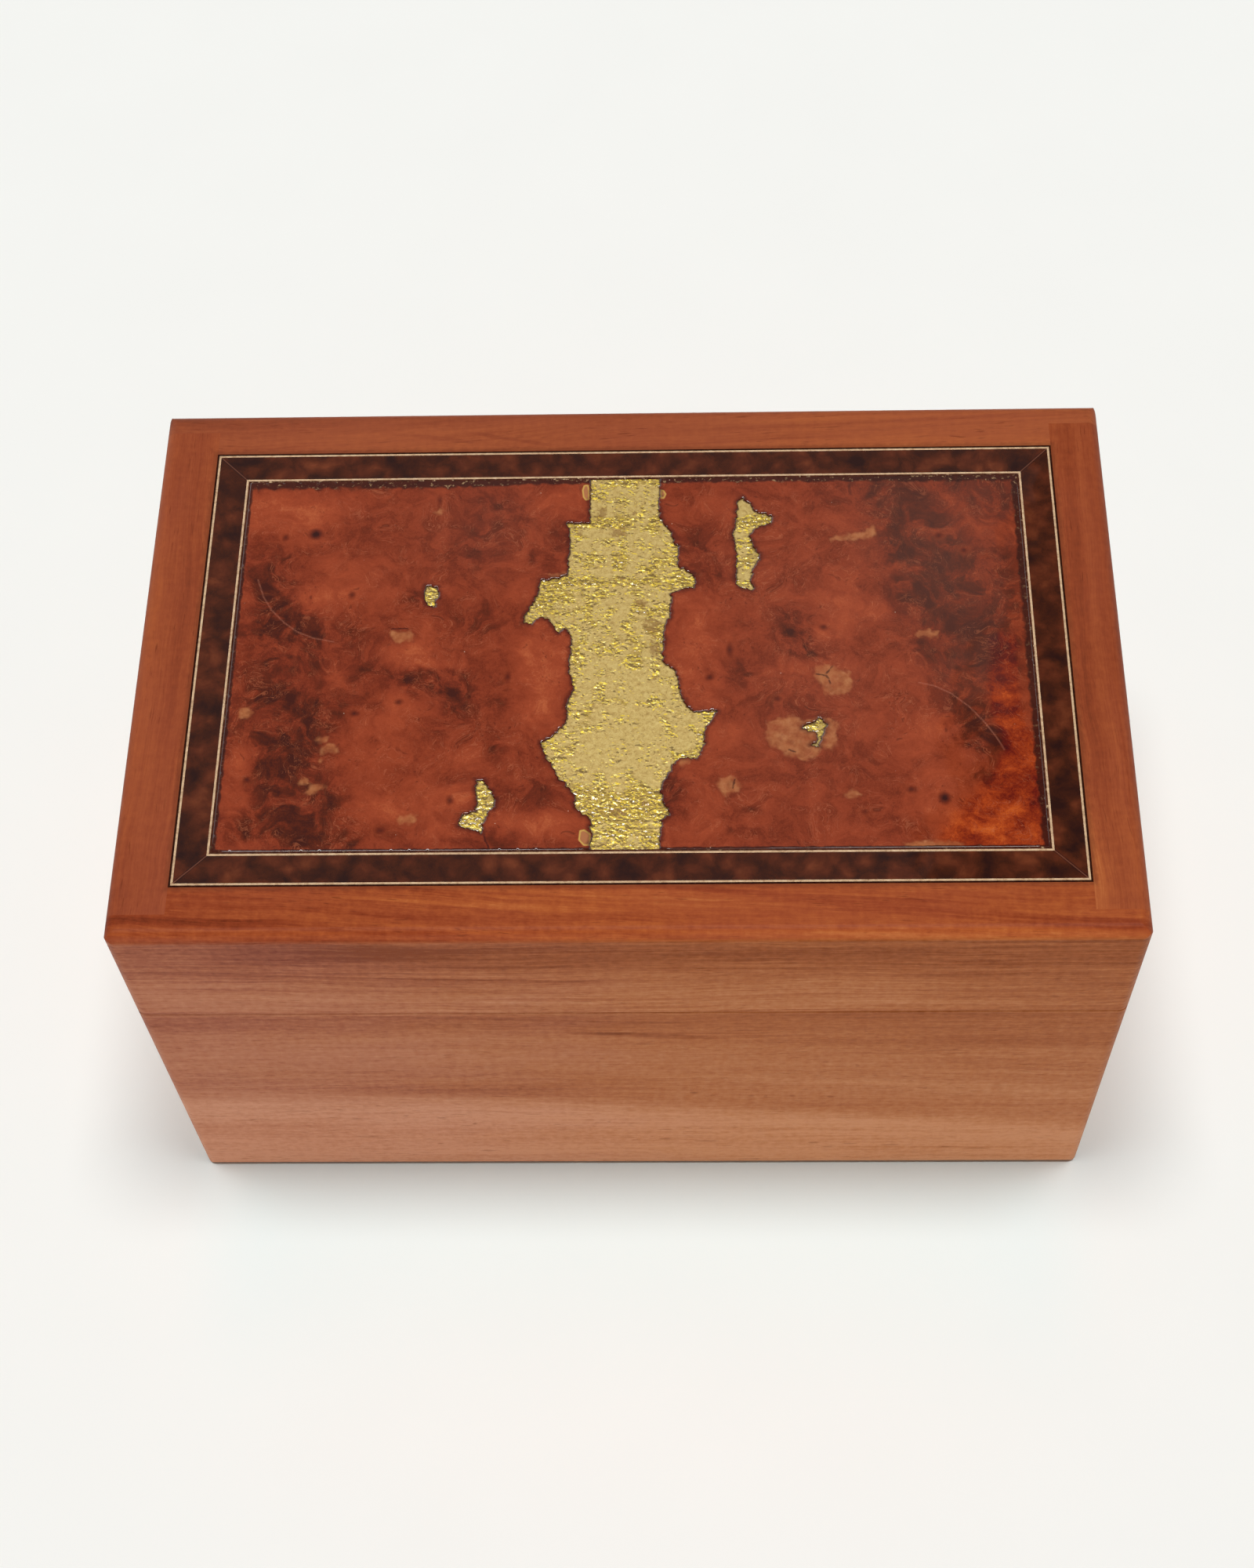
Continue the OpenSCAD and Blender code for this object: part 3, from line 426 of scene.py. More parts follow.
def store(piece, name, values):
    a = piece.data.attributes.new(name, "FLOAT", "POINT")
    a.data.foreach_set("value", np.asarray(values, np.float32))


# --------------------------------------------------------------- shader graphs

def lin(r, g, b):
    return tuple(c / 12.92 if c <= 0.04045 else ((c + 0.055) / 1.055) ** 2.4
                 for c in (r / 255, g / 255, b / 255))


def paint(r, g, b, light=1.0, gloss=0.0):
    """Surface colour that shows as this sRGB colour under a light level, less its gloss."""
    return tuple(max(0.0015, (c - gloss) / light) for c in lin(r, g, b)) + (1.0,)


class Graph:
    """Short forms for the nodes of one material."""

    def __init__(self, name, slot=None):
        self.mat = bpy.data.materials.new(name)
        self.mat.use_nodes = True
        self.tree = self.mat.node_tree
        self.tree.nodes.clear()
        self.out = self.tree.nodes.new("ShaderNodeOutputMaterial")
        self.bsdf = self.tree.nodes.new("ShaderNodeBsdfPrincipled")
        self.tree.links.new(self.bsdf.outputs[0], self.out.inputs["Surface"])
        coord = self.tree.nodes.new("ShaderNodeTexCoord")
        self.at = self.madd(coord.outputs["Object"], (1000, 1000, 1000), (0, -Y_SHIFT, 0))

    def put(self, socket, value):
        if isinstance(value, bpy.types.NodeSocket):
            self.tree.links.new(value, socket)
        elif value is not None:
            socket.default_value = value

    def set(self, **values):
        for key, value in values.items():
            self.put(self.bsdf.inputs[key.replace("_", " ")], value)

    def math(self, op, a, b=None, c=None, clamp=False):
        n = self.tree.nodes.new("ShaderNodeMath")
        n.operation, n.use_clamp = op, clamp
        for s, v in zip(n.inputs, (a, b, c)):
            self.put(s, v)
        return n.outputs[0]

    def add(self, a, b): return self.math("ADD", a, b)
    def sub(self, a, b): return self.math("SUBTRACT", a, b)
    def mul(self, a, b): return self.math("MULTIPLY", a, b)
    def less(self, a, b): return self.math("LESS_THAN", a, b)
    def fma(self, a, b, c): return self.math("MULTIPLY_ADD", a, b, c)
    def peak(self, a, b): return self.math("MAXIMUM", a, b)
    def clamp(self, a): return self.math("ADD", a, 0.0, clamp=True)

    def vmath(self, op, a, b=None, c=None):
        n = self.tree.nodes.new("ShaderNodeVectorMath")
        n.operation = op
        for s, v in zip(n.inputs, (a, b, c)):
            self.put(s, v)
        return n.outputs[1] if op in ("LENGTH", "DISTANCE", "DOT_PRODUCT") else n.outputs[0]

    def madd(self, a, b, c): return self.vmath("MULTIPLY_ADD", a, b, c)

    def scaled(self, a, s):
        n = self.tree.nodes.new("ShaderNodeVectorMath")
        n.operation = "SCALE"
        self.put(n.inputs[0], a)
        self.put(n.inputs["Scale"], s)
        return n.outputs[0]

    def split(self, v):
        n = self.tree.nodes.new("ShaderNodeSeparateXYZ")
        self.put(n.inputs[0], v)
        return n.outputs[0], n.outputs[1], n.outputs[2]

    def join(self, x, y, z):
        n = self.tree.nodes.new("ShaderNodeCombineXYZ")
        for s, v in zip(n.inputs, (x, y, z)):
            self.put(s, v)
        return n.outputs[0]

    def noise(self, at, scale=1.0, detail=2.0, rough=0.5, twist=0.0, colour=False):
        n = self.tree.nodes.new("ShaderNodeTexNoise")
        self.put(n.inputs["Vector"], at)
        n.inputs["Scale"].default_value = scale
        n.inputs["Detail"].default_value = detail
        n.inputs["Roughness"].default_value = rough
        n.inputs["Distortion"].default_value = twist
        return n.outputs[1] if colour else n.outputs[0]

    def cells(self, at, scale=1.0, feature="F1", out="Distance", random=1.0, soft=0.3):
        n = self.tree.nodes.new("ShaderNodeTexVoronoi")
        n.feature = feature
        self.put(n.inputs["Vector"], at)
        n.inputs["Scale"].default_value = scale
        n.inputs["Randomness"].default_value = random
        if feature == "SMOOTH_F1":
            n.inputs["Smoothness"].default_value = soft
        return n.outputs[out]

    def step(self, v, lo, hi, a=0.0, b=1.0):
        """Smooth step of v from lo to hi, returning a to b."""
        n = self.tree.nodes.new("ShaderNodeMapRange")
        n.interpolation_type = "SMOOTHSTEP"
        for s, x in zip(n.inputs, (v, lo, hi, a, b)):
            self.put(s, x)
        return n.outputs[0]

    def line(self, v, lo, hi, a=0.0, b=1.0):
        n = self.tree.nodes.new("ShaderNodeMapRange")
        for s, x in zip(n.inputs, (v, lo, hi, a, b)):
            self.put(s, x)
        return n.outputs[0]

    def ramp(self, v, stops):
        n = self.tree.nodes.new("ShaderNodeValToRGB")
        e = n.color_ramp.elements
        while len(e) < len(stops):
            e.new(0.5)
        for k, (p, col) in enumerate(stops):
            e[k].position = p
            e[k].color = col if len(col) == 4 else (*col, 1)
        self.put(n.inputs[0], v)
        return n.outputs[0]

    def mix(self, f, a, b, how="MIX"):
        n = self.tree.nodes.new("ShaderNodeMix")
        n.data_type, n.blend_type = "RGBA", how
        self.put(n.inputs[0], f)
        self.put(n.inputs[6], a)
        self.put(n.inputs[7], b)
        return n.outputs[2]

    def attr(self, name):
        n = self.tree.nodes.new("ShaderNodeAttribute")
        n.attribute_name = name
        return n.outputs["Fac"]

    def bump(self, height, distance, strength=1.0, normal=None):
        n = self.tree.nodes.new("ShaderNodeBump")
        n.inputs["Strength"].default_value = strength
        n.inputs["Distance"].default_value = distance
        self.put(n.inputs["Height"], height)
        if normal is not None:
            self.put(n.inputs["Normal"], normal)
        return n.outputs[0]


def dress(name, mat):
    o = NODES[name]
    if not o.material_slots:
        o.data.materials.append(mat)
    for s in o.material_slots:
        s.material = mat


# ------------------------------------------------------------------------ wood

TOP_LIGHT, FRAME_LIGHT, FACE_LIGHT = 1.33, 1.35, 1.105
TOP_GLOSS, FRAME_GLOSS, FACE_GLOSS = .0080, .0068, .018


def on_top(r, g, b):
    return paint(r, g, b, TOP_LIGHT, TOP_GLOSS)


def on_frame(r, g, b):
    return paint(r, g, b, FRAME_LIGHT, FRAME_GLOSS)


def on_face(r, g, b):
    return paint(r, g, b, FACE_LIGHT, FACE_GLOSS)


def grain(g, way, shift=(0, 0, 0), lean=0.0):
    """Fields of straight-grained wood. way names the axes along the grain, across it on the
    face that shows, and into the board."""
    axis = dict(zip("xyz", g.split(g.at)))
    u, v, w = (axis[c] for c in way)
    if lean:
        v = g.fma(u, lean, v)
    at = g.join(g.add(u, shift[0]), g.add(v, shift[1]), g.add(w, shift[2]))
    drift = g.sub(g.noise(g.vmath("MULTIPLY", at, (.006, .018, .018)), 1, 2), .5)
    au, av, aw = g.split(at)
    curl = g.sub(g.noise(g.vmath("MULTIPLY", at, (.045, .10, .10)), 1, 2), .5)
    bent = g.join(au, g.fma(curl, 2.6, g.fma(drift, 16, av)), aw)

    def field(along, across, detail, rough):
        return g.sub(g.noise(g.vmath("MULTIPLY", bent, (along, across, across)), 1, detail, rough), .5)

    spot = g.noise(g.vmath("MULTIPLY", bent, (.17, 2.4, 2.4)), 1, 1.5, .5)
    where = g.step(g.noise(g.vmath("MULTIPLY", bent, (.03, .11, .11)), 1, 2), .40, .62)
    return {
        "u": u, "v": v, "lean": lean, "drift": drift, "z": axis["z"], "x": axis["x"],
        "broad": field(.003, .075, 3, .55), "mid": field(.009, .36, 3, .6),
        "fine": field(.035, 1.5, 3, .62), "fibre": field(.25, 5.2, 2, .6),
        "ripple": g.sub(g.noise(g.vmath("MULTIPLY", at, (.62, .085, .085)), 1, 2, .5), .5),
        "mott": g.sub(g.noise(g.vmath("MULTIPLY", at, (.42, .62, .62)), 1, 4, .62), .5),
        "pore": g.mul(g.step(spot, .635, .72), g.fma(where, .8, .2)),
        "hue": g.noise(g.vmath("MULTIPLY", at, (.018, .05, .05)), 1, 2),
    }


def banded(g, f, t, bands):
    """Placed stripes: place at u = 0, slope, half width, from u, to u, fade, amount."""
    for (vc, slope, half, u0, u1, fade, amount) in bands:
        off = g.fma(f["mid"], 2.4, g.sub(f["v"], g.fma(f["u"], slope + f["lean"], vc)))
        off = g.fma(f["drift"], 4.0, off)
        m = g.step(g.math("ABSOLUTE", off), half, half * .3)
        span = g.mul(g.step(f["u"], u0 - fade, u0 + fade), g.step(f["u"], u1 + fade, u1 - fade))
        t = g.fma(g.mul(m, span), amount, t)
    return t


def figure(g, f, base, broad=1.0, mid=.55, fine=.42, mott=.3, ripple=.22):
    t = g.fma(f["broad"], broad, base)
    t = g.fma(f["mid"], mid, t)
    t = g.fma(f["fine"], fine, t)
    t = g.fma(f["fibre"], .26, t)
    t = g.fma(f["mott"], mott, t)
    return g.fma(f["ripple"], ripple, t)


def top_colour(g, f, base, bands=(), red=0.0, pale=0.0, **look):
    """The frame of the top: oiled, darker and redder than the faces."""
    t = banded(g, f, figure(g, f, base, **look), bands)
    col = g.ramp(t, [(.02, on_frame(104, 43, 24)), (.30, on_frame(138, 61, 33)), (.52, on_frame(156, 76, 41)),
                     (.74, on_frame(171, 89, 46)), (.98, on_frame(190, 112, 60))])
    col = g.mix(g.step(f["hue"], .35, .7, red, red + .3), col, on_frame(152, 73, 49))
    if pale:
        col = g.mix(pale, col, on_frame(156, 102, 78))
    col = g.mix(g.mul(f["pore"], .5), col, on_frame(92, 38, 22))
    # darker along the outer black line
    x, y, z = g.split(g.at)
    off = g.peak(g.sub(g.math("ABSOLUTE", g.sub(x, .75)), 124.3), g.sub(g.math("ABSOLUTE", y), 73.3))
    off = g.fma(f["mott"], 1.6, off)
    return g.mix(g.step(off, 1.9, .2, 0, .42), col, on_frame(96, 50, 34))


# Tone of the faces over their height: mm above the foot, tone
FACE_PROFILE = [
    (0, 1.0), (6, .95), (13, .93), (19, .87), (28, .86), (38, .90), (43, .90), (48, .70), (54, .50),
    (60, .43), (66, .44), (72, .54), (82, .58), (94, .55), (101, .43), (106, .36), (111, .31),
    (117, .54), (124, .58), (131, .55), (136, .45), (141, .42), (145, .27), (150, .17), (154, .13),
    (157, .20), (160, .34), (162, .40),
]
# Stripes of the front
FACE_BANDS = [
    (150.0, 0, 9, -170, -112, 12, .16), (151.5, -.01, 5.5, -84, -44, 12, -.16),
    (134.2, -.052, 1.2, -125, -8, 12, -.22), (138.0, -.03, 2.6, -60, 30, 20, .12),
    (149.5, -.035, 1.3, 92, 150, 10, -.16), (130.0, 0, 16, 82, 170, 16, -.15),
    (146.5, -.02, .8, 40, 120, 20, -.10), (127.5, -.02, .9, -120, -20, 25, -.14),
    (123.0, -.01, .8, -60, 60, 25, -.10), (143.5, -.03, .7, -30, 90, 20, -.12),
    (99.5, -.11, 1.8, -16, 24, 8, -.24), (100.5, -.02, .8, -10, 36, 10, -.14),
    (96.0, -.03, 5.0, 20, 160, 40, -.10), (98.0, -.02, 7, 84, 170, 14, -.12),
    (74.0, -.02, 17, 92, 170, 18, -.06), (62.0, -.05, 13, 12, 150, 30, .14),
    (58.0, -.04, 7.0, -86, -22, 12, -.12), (32.0, 0, 7.0, -160, -88, 16, -.13),
    (108.0, -.06, .9, -80, 10, 20, -.14), (46.5, -.10, 1.2, -150, 60, 30, .10),
    (31.0, -.05, 1.2, 20, 120, 20, -.10), (86.0, -.04, 1.0, -120, -20, 30, .08),
    (15.5, -.015, 1.5, -30, 20, 14, .10), (13.5, -.01, 1.2, 70, 118, 12, -.14),
    (24.0, .0, 1.0, -130, -70, 20, -.10), (66.5, -.03, .9, -150, -50, 20, .08),
    (42.0, 0, 8.0, 84, 170, 20, .12),
]


# Short dark marks of the front: x, height, half length, half height, amount
FACE_MARKS = [
    (8.5, 20.4, 2.6, .8, .42), (22, 18.6, 4.5, .8, .34), (55, 17, 2, .9, .38), (60, 13.4, 2, .7, .26), (67, 16, 3, .7, .34),
    (80, 15, 3.4, .8, .40), (97, 13, 3, .7, .36), (107, 11.8, 5, .8, .30), (72, 3.8, 2.6, .7, .26), (38, 17.5, 3, .6, .2),
    (17.8, 57, 1.4, 1.0, .40), (23.3, 55, 1.0, .8, .26), (35, 54.6, 1.2, 1.0, .36), (39.4, 54.4, .8, 1.0, .30),
    (47.5, 54.6, 1.0, 1.1, .36), (59, 53.8, 1.3, 1.0, .40), (49, 51, 1.4, .7, .24), (-35, 60.5, .7, 1.5, .32),
    (-60, 38, 2.0, .8, .30), (-87, 37.6, 1.8, .8, .28), (-50.5, 33.4, .9, .9, .40), (-62.7, 17, 1.2, .6, .36),
    (-47.7, 11, 3.0, .8, .34), (-84, 23, 5, 1.4, .20), (-8.4, 34.6, .7, .7, .32), (-5, 100.4, 6, 1.0, .44),
    (3, 93.2, 4, .7, .26), (13, 99.5, 3, .9, .22), (22.4, 96.8, 2.4, .8, .26), (51.7, 91.4, 1.6, .7, .2),
    (56.7, 79.7, 1.4, .7, .22), (65.8, 77, .8, 1.4, .24), (-66, 60, 5, .9, .16), (-104, 44, 6, .8, .18),
    (-118, 70, 6, .6, .2), (-70, 84, 8, .7, .18), (-44, 77, 6, .6, .16), (110, 62, 5, .8, .16), (92, 88, 6, .7, .16),
]


def face_colour(g, f, bands=(), warm=None, swing=1.0, marks=()):
    """The paler faces, which get lighter towards the foot."""
    low = g.step(f["z"], 100, 60)
    tilt = g.mul(f["u"], g.fma(f["u"], .0003, .093))
    height = g.fma(tilt, low, f["z"])
    height = g.fma(f["drift"], 8, g.fma(f["mid"], 4, height))
    base = g.ramp(g.mul(height, 1 / 165), [(h / 165, (v, v, v)) for h, v in FACE_PROFILE])
    crisp = g.step(f["z"], 112, 117, .50 * swing, .82 * swing)
    t = banded(g, f, figure(g, f, base, .30 * swing, crisp, g.mul(crisp, 1.0), .62, .17), bands)
    pink = g.ramp(t, [(0, on_face(119, 64, 50)), (.28, on_face(146, 86, 65)), (.5, on_face(163, 103, 77)),
                      (.75, on_face(175, 117, 89)), (1, on_face(189, 134, 106))])
    tan = g.ramp(t, [(0, on_face(126, 68, 40)), (.28, on_face(148, 86, 53)), (.5, on_face(162, 100, 64)),
                     (.75, on_face(176, 117, 80)), (1, on_face(190, 134, 98))])
    side = g.fma(g.step(f["z"], 44, 60), 30, f["u"])
    side = g.fma(g.sub(f["hue"], .5), 160, side)
    col = g.mix(g.step(side, -100, 60) if warm is None else warm, pink, tan)
    # short dark dashes in loose groups
    dash = g.noise(g.vmath("MULTIPLY", g.at, (.26, .9, .9)), 1, 2, .5, .3)
    group = g.step(g.noise(g.vmath("MULTIPLY", g.at, (.022, .05, .06)), 1, 2), .50, .62)
    dash = g.mul(g.step(dash, .60, .70), group)
    col = g.mix(g.mul(dash, .26), col, on_face(104, 56, 34))
    # single marks in the figure of the front
    for (mx, mz, long, high, amount) in marks:
        spot = g.vmath("MULTIPLY_ADD", g.join(g.fma(f["mid"], 3, f["u"]), g.fma(f["mott"], 1.1, f["v"]), 0),
                       (1 / long, 1 / high, 0), (-mx / long, -mz / high, 0))
        col = g.mix(g.step(g.vmath("LENGTH", spot), 1.15, .35, 0, amount), col, on_face(112, 60, 34))
    col = g.mix(g.mul(f["pore"], .46), col, on_face(100, 52, 32))
    # light from the floor warms towards the foot
    col = g.mix(g.step(f["z"], 62, 16), col, (1, .965, .945, 1), "MULTIPLY")
    # painted shade of the saw line between lid and base, widest on the left, on the outside faces only
    x, y, z = g.split(g.at)
    outside = g.peak(g.sub(g.math("ABSOLUTE", x), 140), g.sub(g.math("ABSOLUTE", g.sub(y, Y_SHIFT)), 89))
    outside = g.step(outside, -1.5, -.5)
    wide = g.fma(g.step(f["x"], 60, -140), .26, .24)
    wave = g.noise(g.vmath("MULTIPLY", g.at, (.035, .0, .0)), 1, 4, .6)
    off = g.math("ABSOLUTE", g.fma(g.sub(wave, .5), 1.5, g.fma(f["fine"], .4, g.sub(f["z"], SPLIT))))
    col = g.mix(g.step(off, g.add(wide, 1.4), wide, 0, g.mul(outside, .40)), col, on_face(112, 50, 23))
    return g.mix(g.step(off, g.add(wide, .34), wide, 0, g.mul(outside, .95)), col, on_face(80, 27, 13))


def wood_finish(g, f, col, rough=.44):
    height = g.sub(g.fma(f["fibre"], .5, g.mul(f["fine"], .6)), g.mul(f["pore"], .8))
    g.set(Base_Color=col, Roughness=g.fma(f["mid"], .16, g.fma(f["pore"], .2, rough)),
          Normal=g.bump(height, .00008, .5))
    g.bsdf.inputs["Specular IOR Level"].default_value = .06
    return g.mat


FRAME = {
    "front": (dict(way="xyz", shift=(40, 5, 800), lean=.055), dict(base=.44, mid=.80, mott=.62, ripple=.20, bands=[
        (-76, 0, 40, -40, 300, 60, .12), (-74.5, -.084, 1.7, 36, 145, 16, -.28),
        (-73.2, -.075, .9, 10, 90, 18, -.22), (-77.0, -.08, .8, 60, 150, 22, -.14),
        (-86.2, -.02, 1.7, -150, -90, 14, -.17), (-80.0, -.03, .9, -140, -100, 16, -.13),
        (-82.6, -.07, .8, -76, -30, 14, -.22), (-77.6, -.06, .7, 20, 64, 14, -.15),
        (-81.0, -.05, 1.6, -80, -10, 16, .14), (-77.0, -.05, .6, -70, 0, 16, -.16),
        (-88.0, -.01, 2.6, 40, 150, 20, .16), (-86.0, -.02, .7, 10, 100, 20, -.14),
        (-87.0, 0, 5, -34, 100, 26, .12)])),
    "back": (dict(way="xyz", shift=(710, 61, 930), lean=-.045), dict(base=.47, mid=.42, mott=.40, ripple=.16, pale=.22, bands=[
        (70.0, -.16, 1.1, -76, -48, 6, -.16), (70.5, -.22, .9, -46, -26, 5, -.18),
        (79.5, .045, .8, 20, 135, 14, -.12), (76.0, .06, .7, 60, 140, 14, -.12),
        (74.5, .05, .6, 0, 70, 14, -.08), (82.5, .03, 1.4, 30, 140, 20, .10),
        (79.0, 0, 16, 20, 170, 34, .15), (79.0, 0, 16, -180, -90, 24, -.08)])),
    "left": (dict(way="yxz", shift=(510, 12, 400)), dict(base=.44, mid=.5, mott=.40, ripple=.16, red=.1, pale=.13, bands=[
        (-127.0, 0, 3.4, -90, 40, 14, -.13), (-135.0, 0, 5, -60, 40, 16, .11)])),
    "right": (dict(way="yxz", shift=(860, 40, 600)), dict(base=.38, mid=.5, mott=.40, ripple=.16, pale=.12, bands=[
        (132.0, 0, 16, -130, -56, 20, .26), (134.0, 0, 8, -60, -20, 16, .08)])),
}


def frame_wood(name, side):
    g = Graph(name)
    how, tones = FRAME[side]
    f = grain(g, **how)
    return wood_finish(g, f, top_colour(g, f, **tones), .42)


def board(name, way, shift, side=None, **look):
    """A wall board. side also gives its top edge the look of the frame piece beside it."""
    g = Graph(name)
    f = grain(g, way, shift)
    col = face_colour(g, f, **look)
    if side:
        how, tones = FRAME[side]
        over = g.step(g.fma(f["mid"], 2.4, f["z"]), 158.2, 160.6)
        col = g.mix(over, col, top_colour(g, grain(g, **how), **tones))
    return wood_finish(g, f, col)


for part, side in (("base", None), ("lid", "x")):
    dress(f"{part}_front_board", board(f"wood_front_{part}", "xzy", (0, 0, 0), side and "front", bands=FACE_BANDS,
                                           marks=[m for m in FACE_MARKS if part == "base"]))
    dress(f"{part}_back_board", board(f"wood_back_{part}", "xzy", (900, 33, 210), side and "back", warm=.5, swing=1.8))
    dress(f"{part}_left_board", board(f"wood_left_{part}", "yzx", (300, -170, 90), side and "left", warm=.3, swing=1.8))
    dress(f"{part}_right_board", board(f"wood_right_{part}", "yzx", (1300, 70, -60), side and "right", warm=.8, swing=1.8))
dress("top_stile_left", frame_wood("wood_stile_left", "left"))
dress("top_stile_right", frame_wood("wood_stile_right", "right"))
dress("top_rail_front", frame_wood("wood_rail_front", "front"))
dress("top_rail_back", frame_wood("wood_rail_back", "back"))


# ------------------------------------------------------- plywood, veneer, felt

def plywood():
    g = Graph("plywood")
    x, y, z = g.split(g.at)
    ply = g.math("FRACT", g.mul(z, 1 / 2.6))
    cross = g.math("GREATER_THAN", ply, .5)
    long = g.noise(g.vmath("MULTIPLY", g.at, (.02, 1.1, 1.5)), 1, 4, .6)
    other = g.noise(g.vmath("MULTIPLY", g.at, (1.1, .02, 1.5)), 1, 4, .6)
    n = g.fma(g.mul(other, cross), 1, g.mul(long, g.sub(1, cross)))
    col = g.ramp(n, [(.25, lin(158, 116, 78)), (.5, lin(196, 156, 112)), (.8, lin(219, 184, 140))])
    g.set(Base_Color=col, Roughness=g.line(n, 0, 1, .62, .5), Normal=g.bump(n, .0001, .5))
    return g.mat


def backing():
    g = Graph("backing_veneer")
    at = g.vmath("MULTIPLY", g.at, (1, 1, 1))
    drift = g.sub(g.noise(g.vmath("MULTIPLY", at, (.008, .02, .02)), 1, 2), .5)
    x, y, z = g.split(at)
    at = g.join(x, g.fma(drift, 22, y), z)
    broad = g.noise(g.vmath("MULTIPLY", at, (.004, .07, .07)), 1, 3, .55)
    fine = g.noise(g.vmath("MULTIPLY", at, (.02, 1.1, 1)), 1, 4, .6)
    t = g.fma(g.sub(fine, .5), .6, g.fma(g.sub(broad, .5), 1.6, .5))
    col = g.ramp(t, [(.1, lin(104, 52, 34)), (.5, lin(150, 82, 50)), (.9, lin(182, 112, 70))])
    g.set(Base_Color=col, Roughness=g.line(fine, 0, 1, .5, .38), Normal=g.bump(fine, .00008, .5))
    return g.mat


def felt():
    g = Graph("felt")
    tuft = g.noise(g.at, .9, 5, .7, 1.2)
    hair = g.noise(g.vmath("MULTIPLY", g.at, (3.2, 2.1, 3)), 1, 4, .75, 2.5)
    t = g.fma(g.sub(hair, .5), .8, tuft)
    col = g.ramp(t, [(.2, lin(30, 9, 12)), (.5, lin(64, 18, 22)), (.8, lin(92, 34, 34))])
    g.set(Base_Color=col, Roughness=.95, Normal=g.bump(t, .0006, .8))
    g.bsdf.inputs["Sheen Weight"].default_value = .5
    g.bsdf.inputs["Sheen Roughness"].default_value = .6
    g.bsdf.inputs["Sheen Tint"].default_value = (*lin(150, 80, 80), 1)
    g.bsdf.inputs["Specular IOR Level"].default_value = .2
    return g.mat


PLY = plywood()
dress("base_floor_panel", PLY)
dress("top_core_panel", PLY)
dress("lid_backing_veneer", backing())
dress("base_lining", felt())


# --------------------------------------------------------- stringing and border

def lacquer(g, weight=1.0):
    """Glossy clear finish that lies over the inlay, very slightly uneven."""
    g.bsdf.inputs["Coat Weight"].default_value = weight
    g.bsdf.inputs["Coat Roughness"].default_value = .06
    g.bsdf.inputs["Coat IOR"].default_value = 1.5
    g.bsdf.inputs["Specular IOR Level"].default_value = 0
    swell = g.noise(g.at, .045, 2, .5)
    orange = g.noise(g.at, .35, 2, .5)
    g.put(g.bsdf.inputs["Coat Normal"], g.bump(g.fma(orange, .02, swell), .0009, .35))


def stringing(name, pale, spots=0.0):
    g = Graph(name)
    n = g.noise(g.vmath("MULTIPLY", g.at, (.8, .8, .8)), 1, 4, .6)
    f = g.noise(g.vmath("MULTIPLY", g.at, (3, 3, 3)), 1, 3, .6)
    if pale:
        col = g.ramp(g.fma(f, .4, g.mul(n, .6)), [(.3, on_top(150, 112, 84)), (.5, on_top(206, 172, 136)), (.7, on_top(226, 198, 164))])
    else:
        col = g.ramp(g.fma(f, .4, g.mul(n, .6)), [(.3, on_top(36, 22, 15)), (.5, on_top(52, 31, 21)), (.7, on_top(78, 48, 32))])
        if spots:
            col = g.mix(g.step(n, .42, .60, .35, .85), col, (*lin(74, 38, 26), 1))
            flaw = g.noise(g.vmath("MULTIPLY", g.at, (.55, .55, .55)), 1, 5, .75)
            x, y, z = g.split(g.at)
            where = g.peak(g.step(y, 58, 62), g.step(x, 108, 113))
            where = g.mul(g.fma(where, .75, .25), g.step(g.noise(g.at, .05, 2), .35, .65))
            col = g.mix(g.mul(g.step(flaw, .56, .66), g.mul(where, spots)), col, (*lin(178, 150, 116), 1))
    g.set(Base_Color=col, Roughness=g.line(f, 0, 1, .5, .3), Normal=g.bump(f, .00004, .4))
    lacquer(g, 1.0 if pale else .3)
    return g.mat


dress("outer_white_line", stringing("stringing_pale_outer", True))
dress("inner_white_line", stringing("stringing_pale_inner", True))
dress("outer_black_line", stringing("stringing_black_outer", False))
dress("inner_black_line", stringing("stringing_black_inner", False, 1.0))


def border(name, shift):
    g = Graph(name)
    at = g.vmath("ADD", g.at, shift)
    push = g.scaled(g.vmath("SUBTRACT", g.noise(at, .10, 2, .5, 0, True), (.5, .5, .5)), 7)
    bent = g.vmath("ADD", at, push)
    cloud = g.noise(bent, .125, 2, .5)
    dots = g.cells(bent, .19, "SMOOTH_F1", soft=.6)
    fine = g.noise(bent, .8, 4, .62)
    t = g.fma(g.sub(cloud, .5), 1.05, .46)
    t = g.fma(g.sub(dots, .42), -.70, t)
    t = g.fma(g.sub(fine, .5), .44, t)
    col = g.ramp(t, [(.08, on_top(48, 28, 21)), (.36, on_top(69, 36, 26)), (.58, on_top(88, 44, 30)),
                     (.80, on_top(105, 54, 35)), (1, on_top(120, 62, 40))])
    # mitre joints at the corners
    x, y, z = g.split(g.at)
    dx = g.sub(g.math("ABSOLUTE", g.sub(x, .75)), 113.5)
    dy = g.sub(g.math("ABSOLUTE", y), 62.5)
    off = g.math("ABSOLUTE", g.sub(dx, dy))
    col = g.mix(g.step(off, .34, .12, 0, .55), col, on_top(122, 78, 62))
    col = g.mix(g.step(g.math("ABSOLUTE", g.sub(off, .45)), .3, .1, 0, .5), col, on_top(40, 24, 20))
    g.set(Base_Color=col, Roughness=g.line(fine, 0, 1, .45, .35), Normal=g.bump(fine, .00003, .3))
    lacquer(g)
    return g.mat


dress("border_front", border("border_burl_front", (0, 0, 0)))
dress("border_back", border("border_burl_back", (300, 0, 40)))
dress("border_left", border("border_burl_left", (0, 410, 80)))
dress("border_right", border("border_burl_right", (90, 700, 10)))


# ------------------------------------------------------------------ burl panel

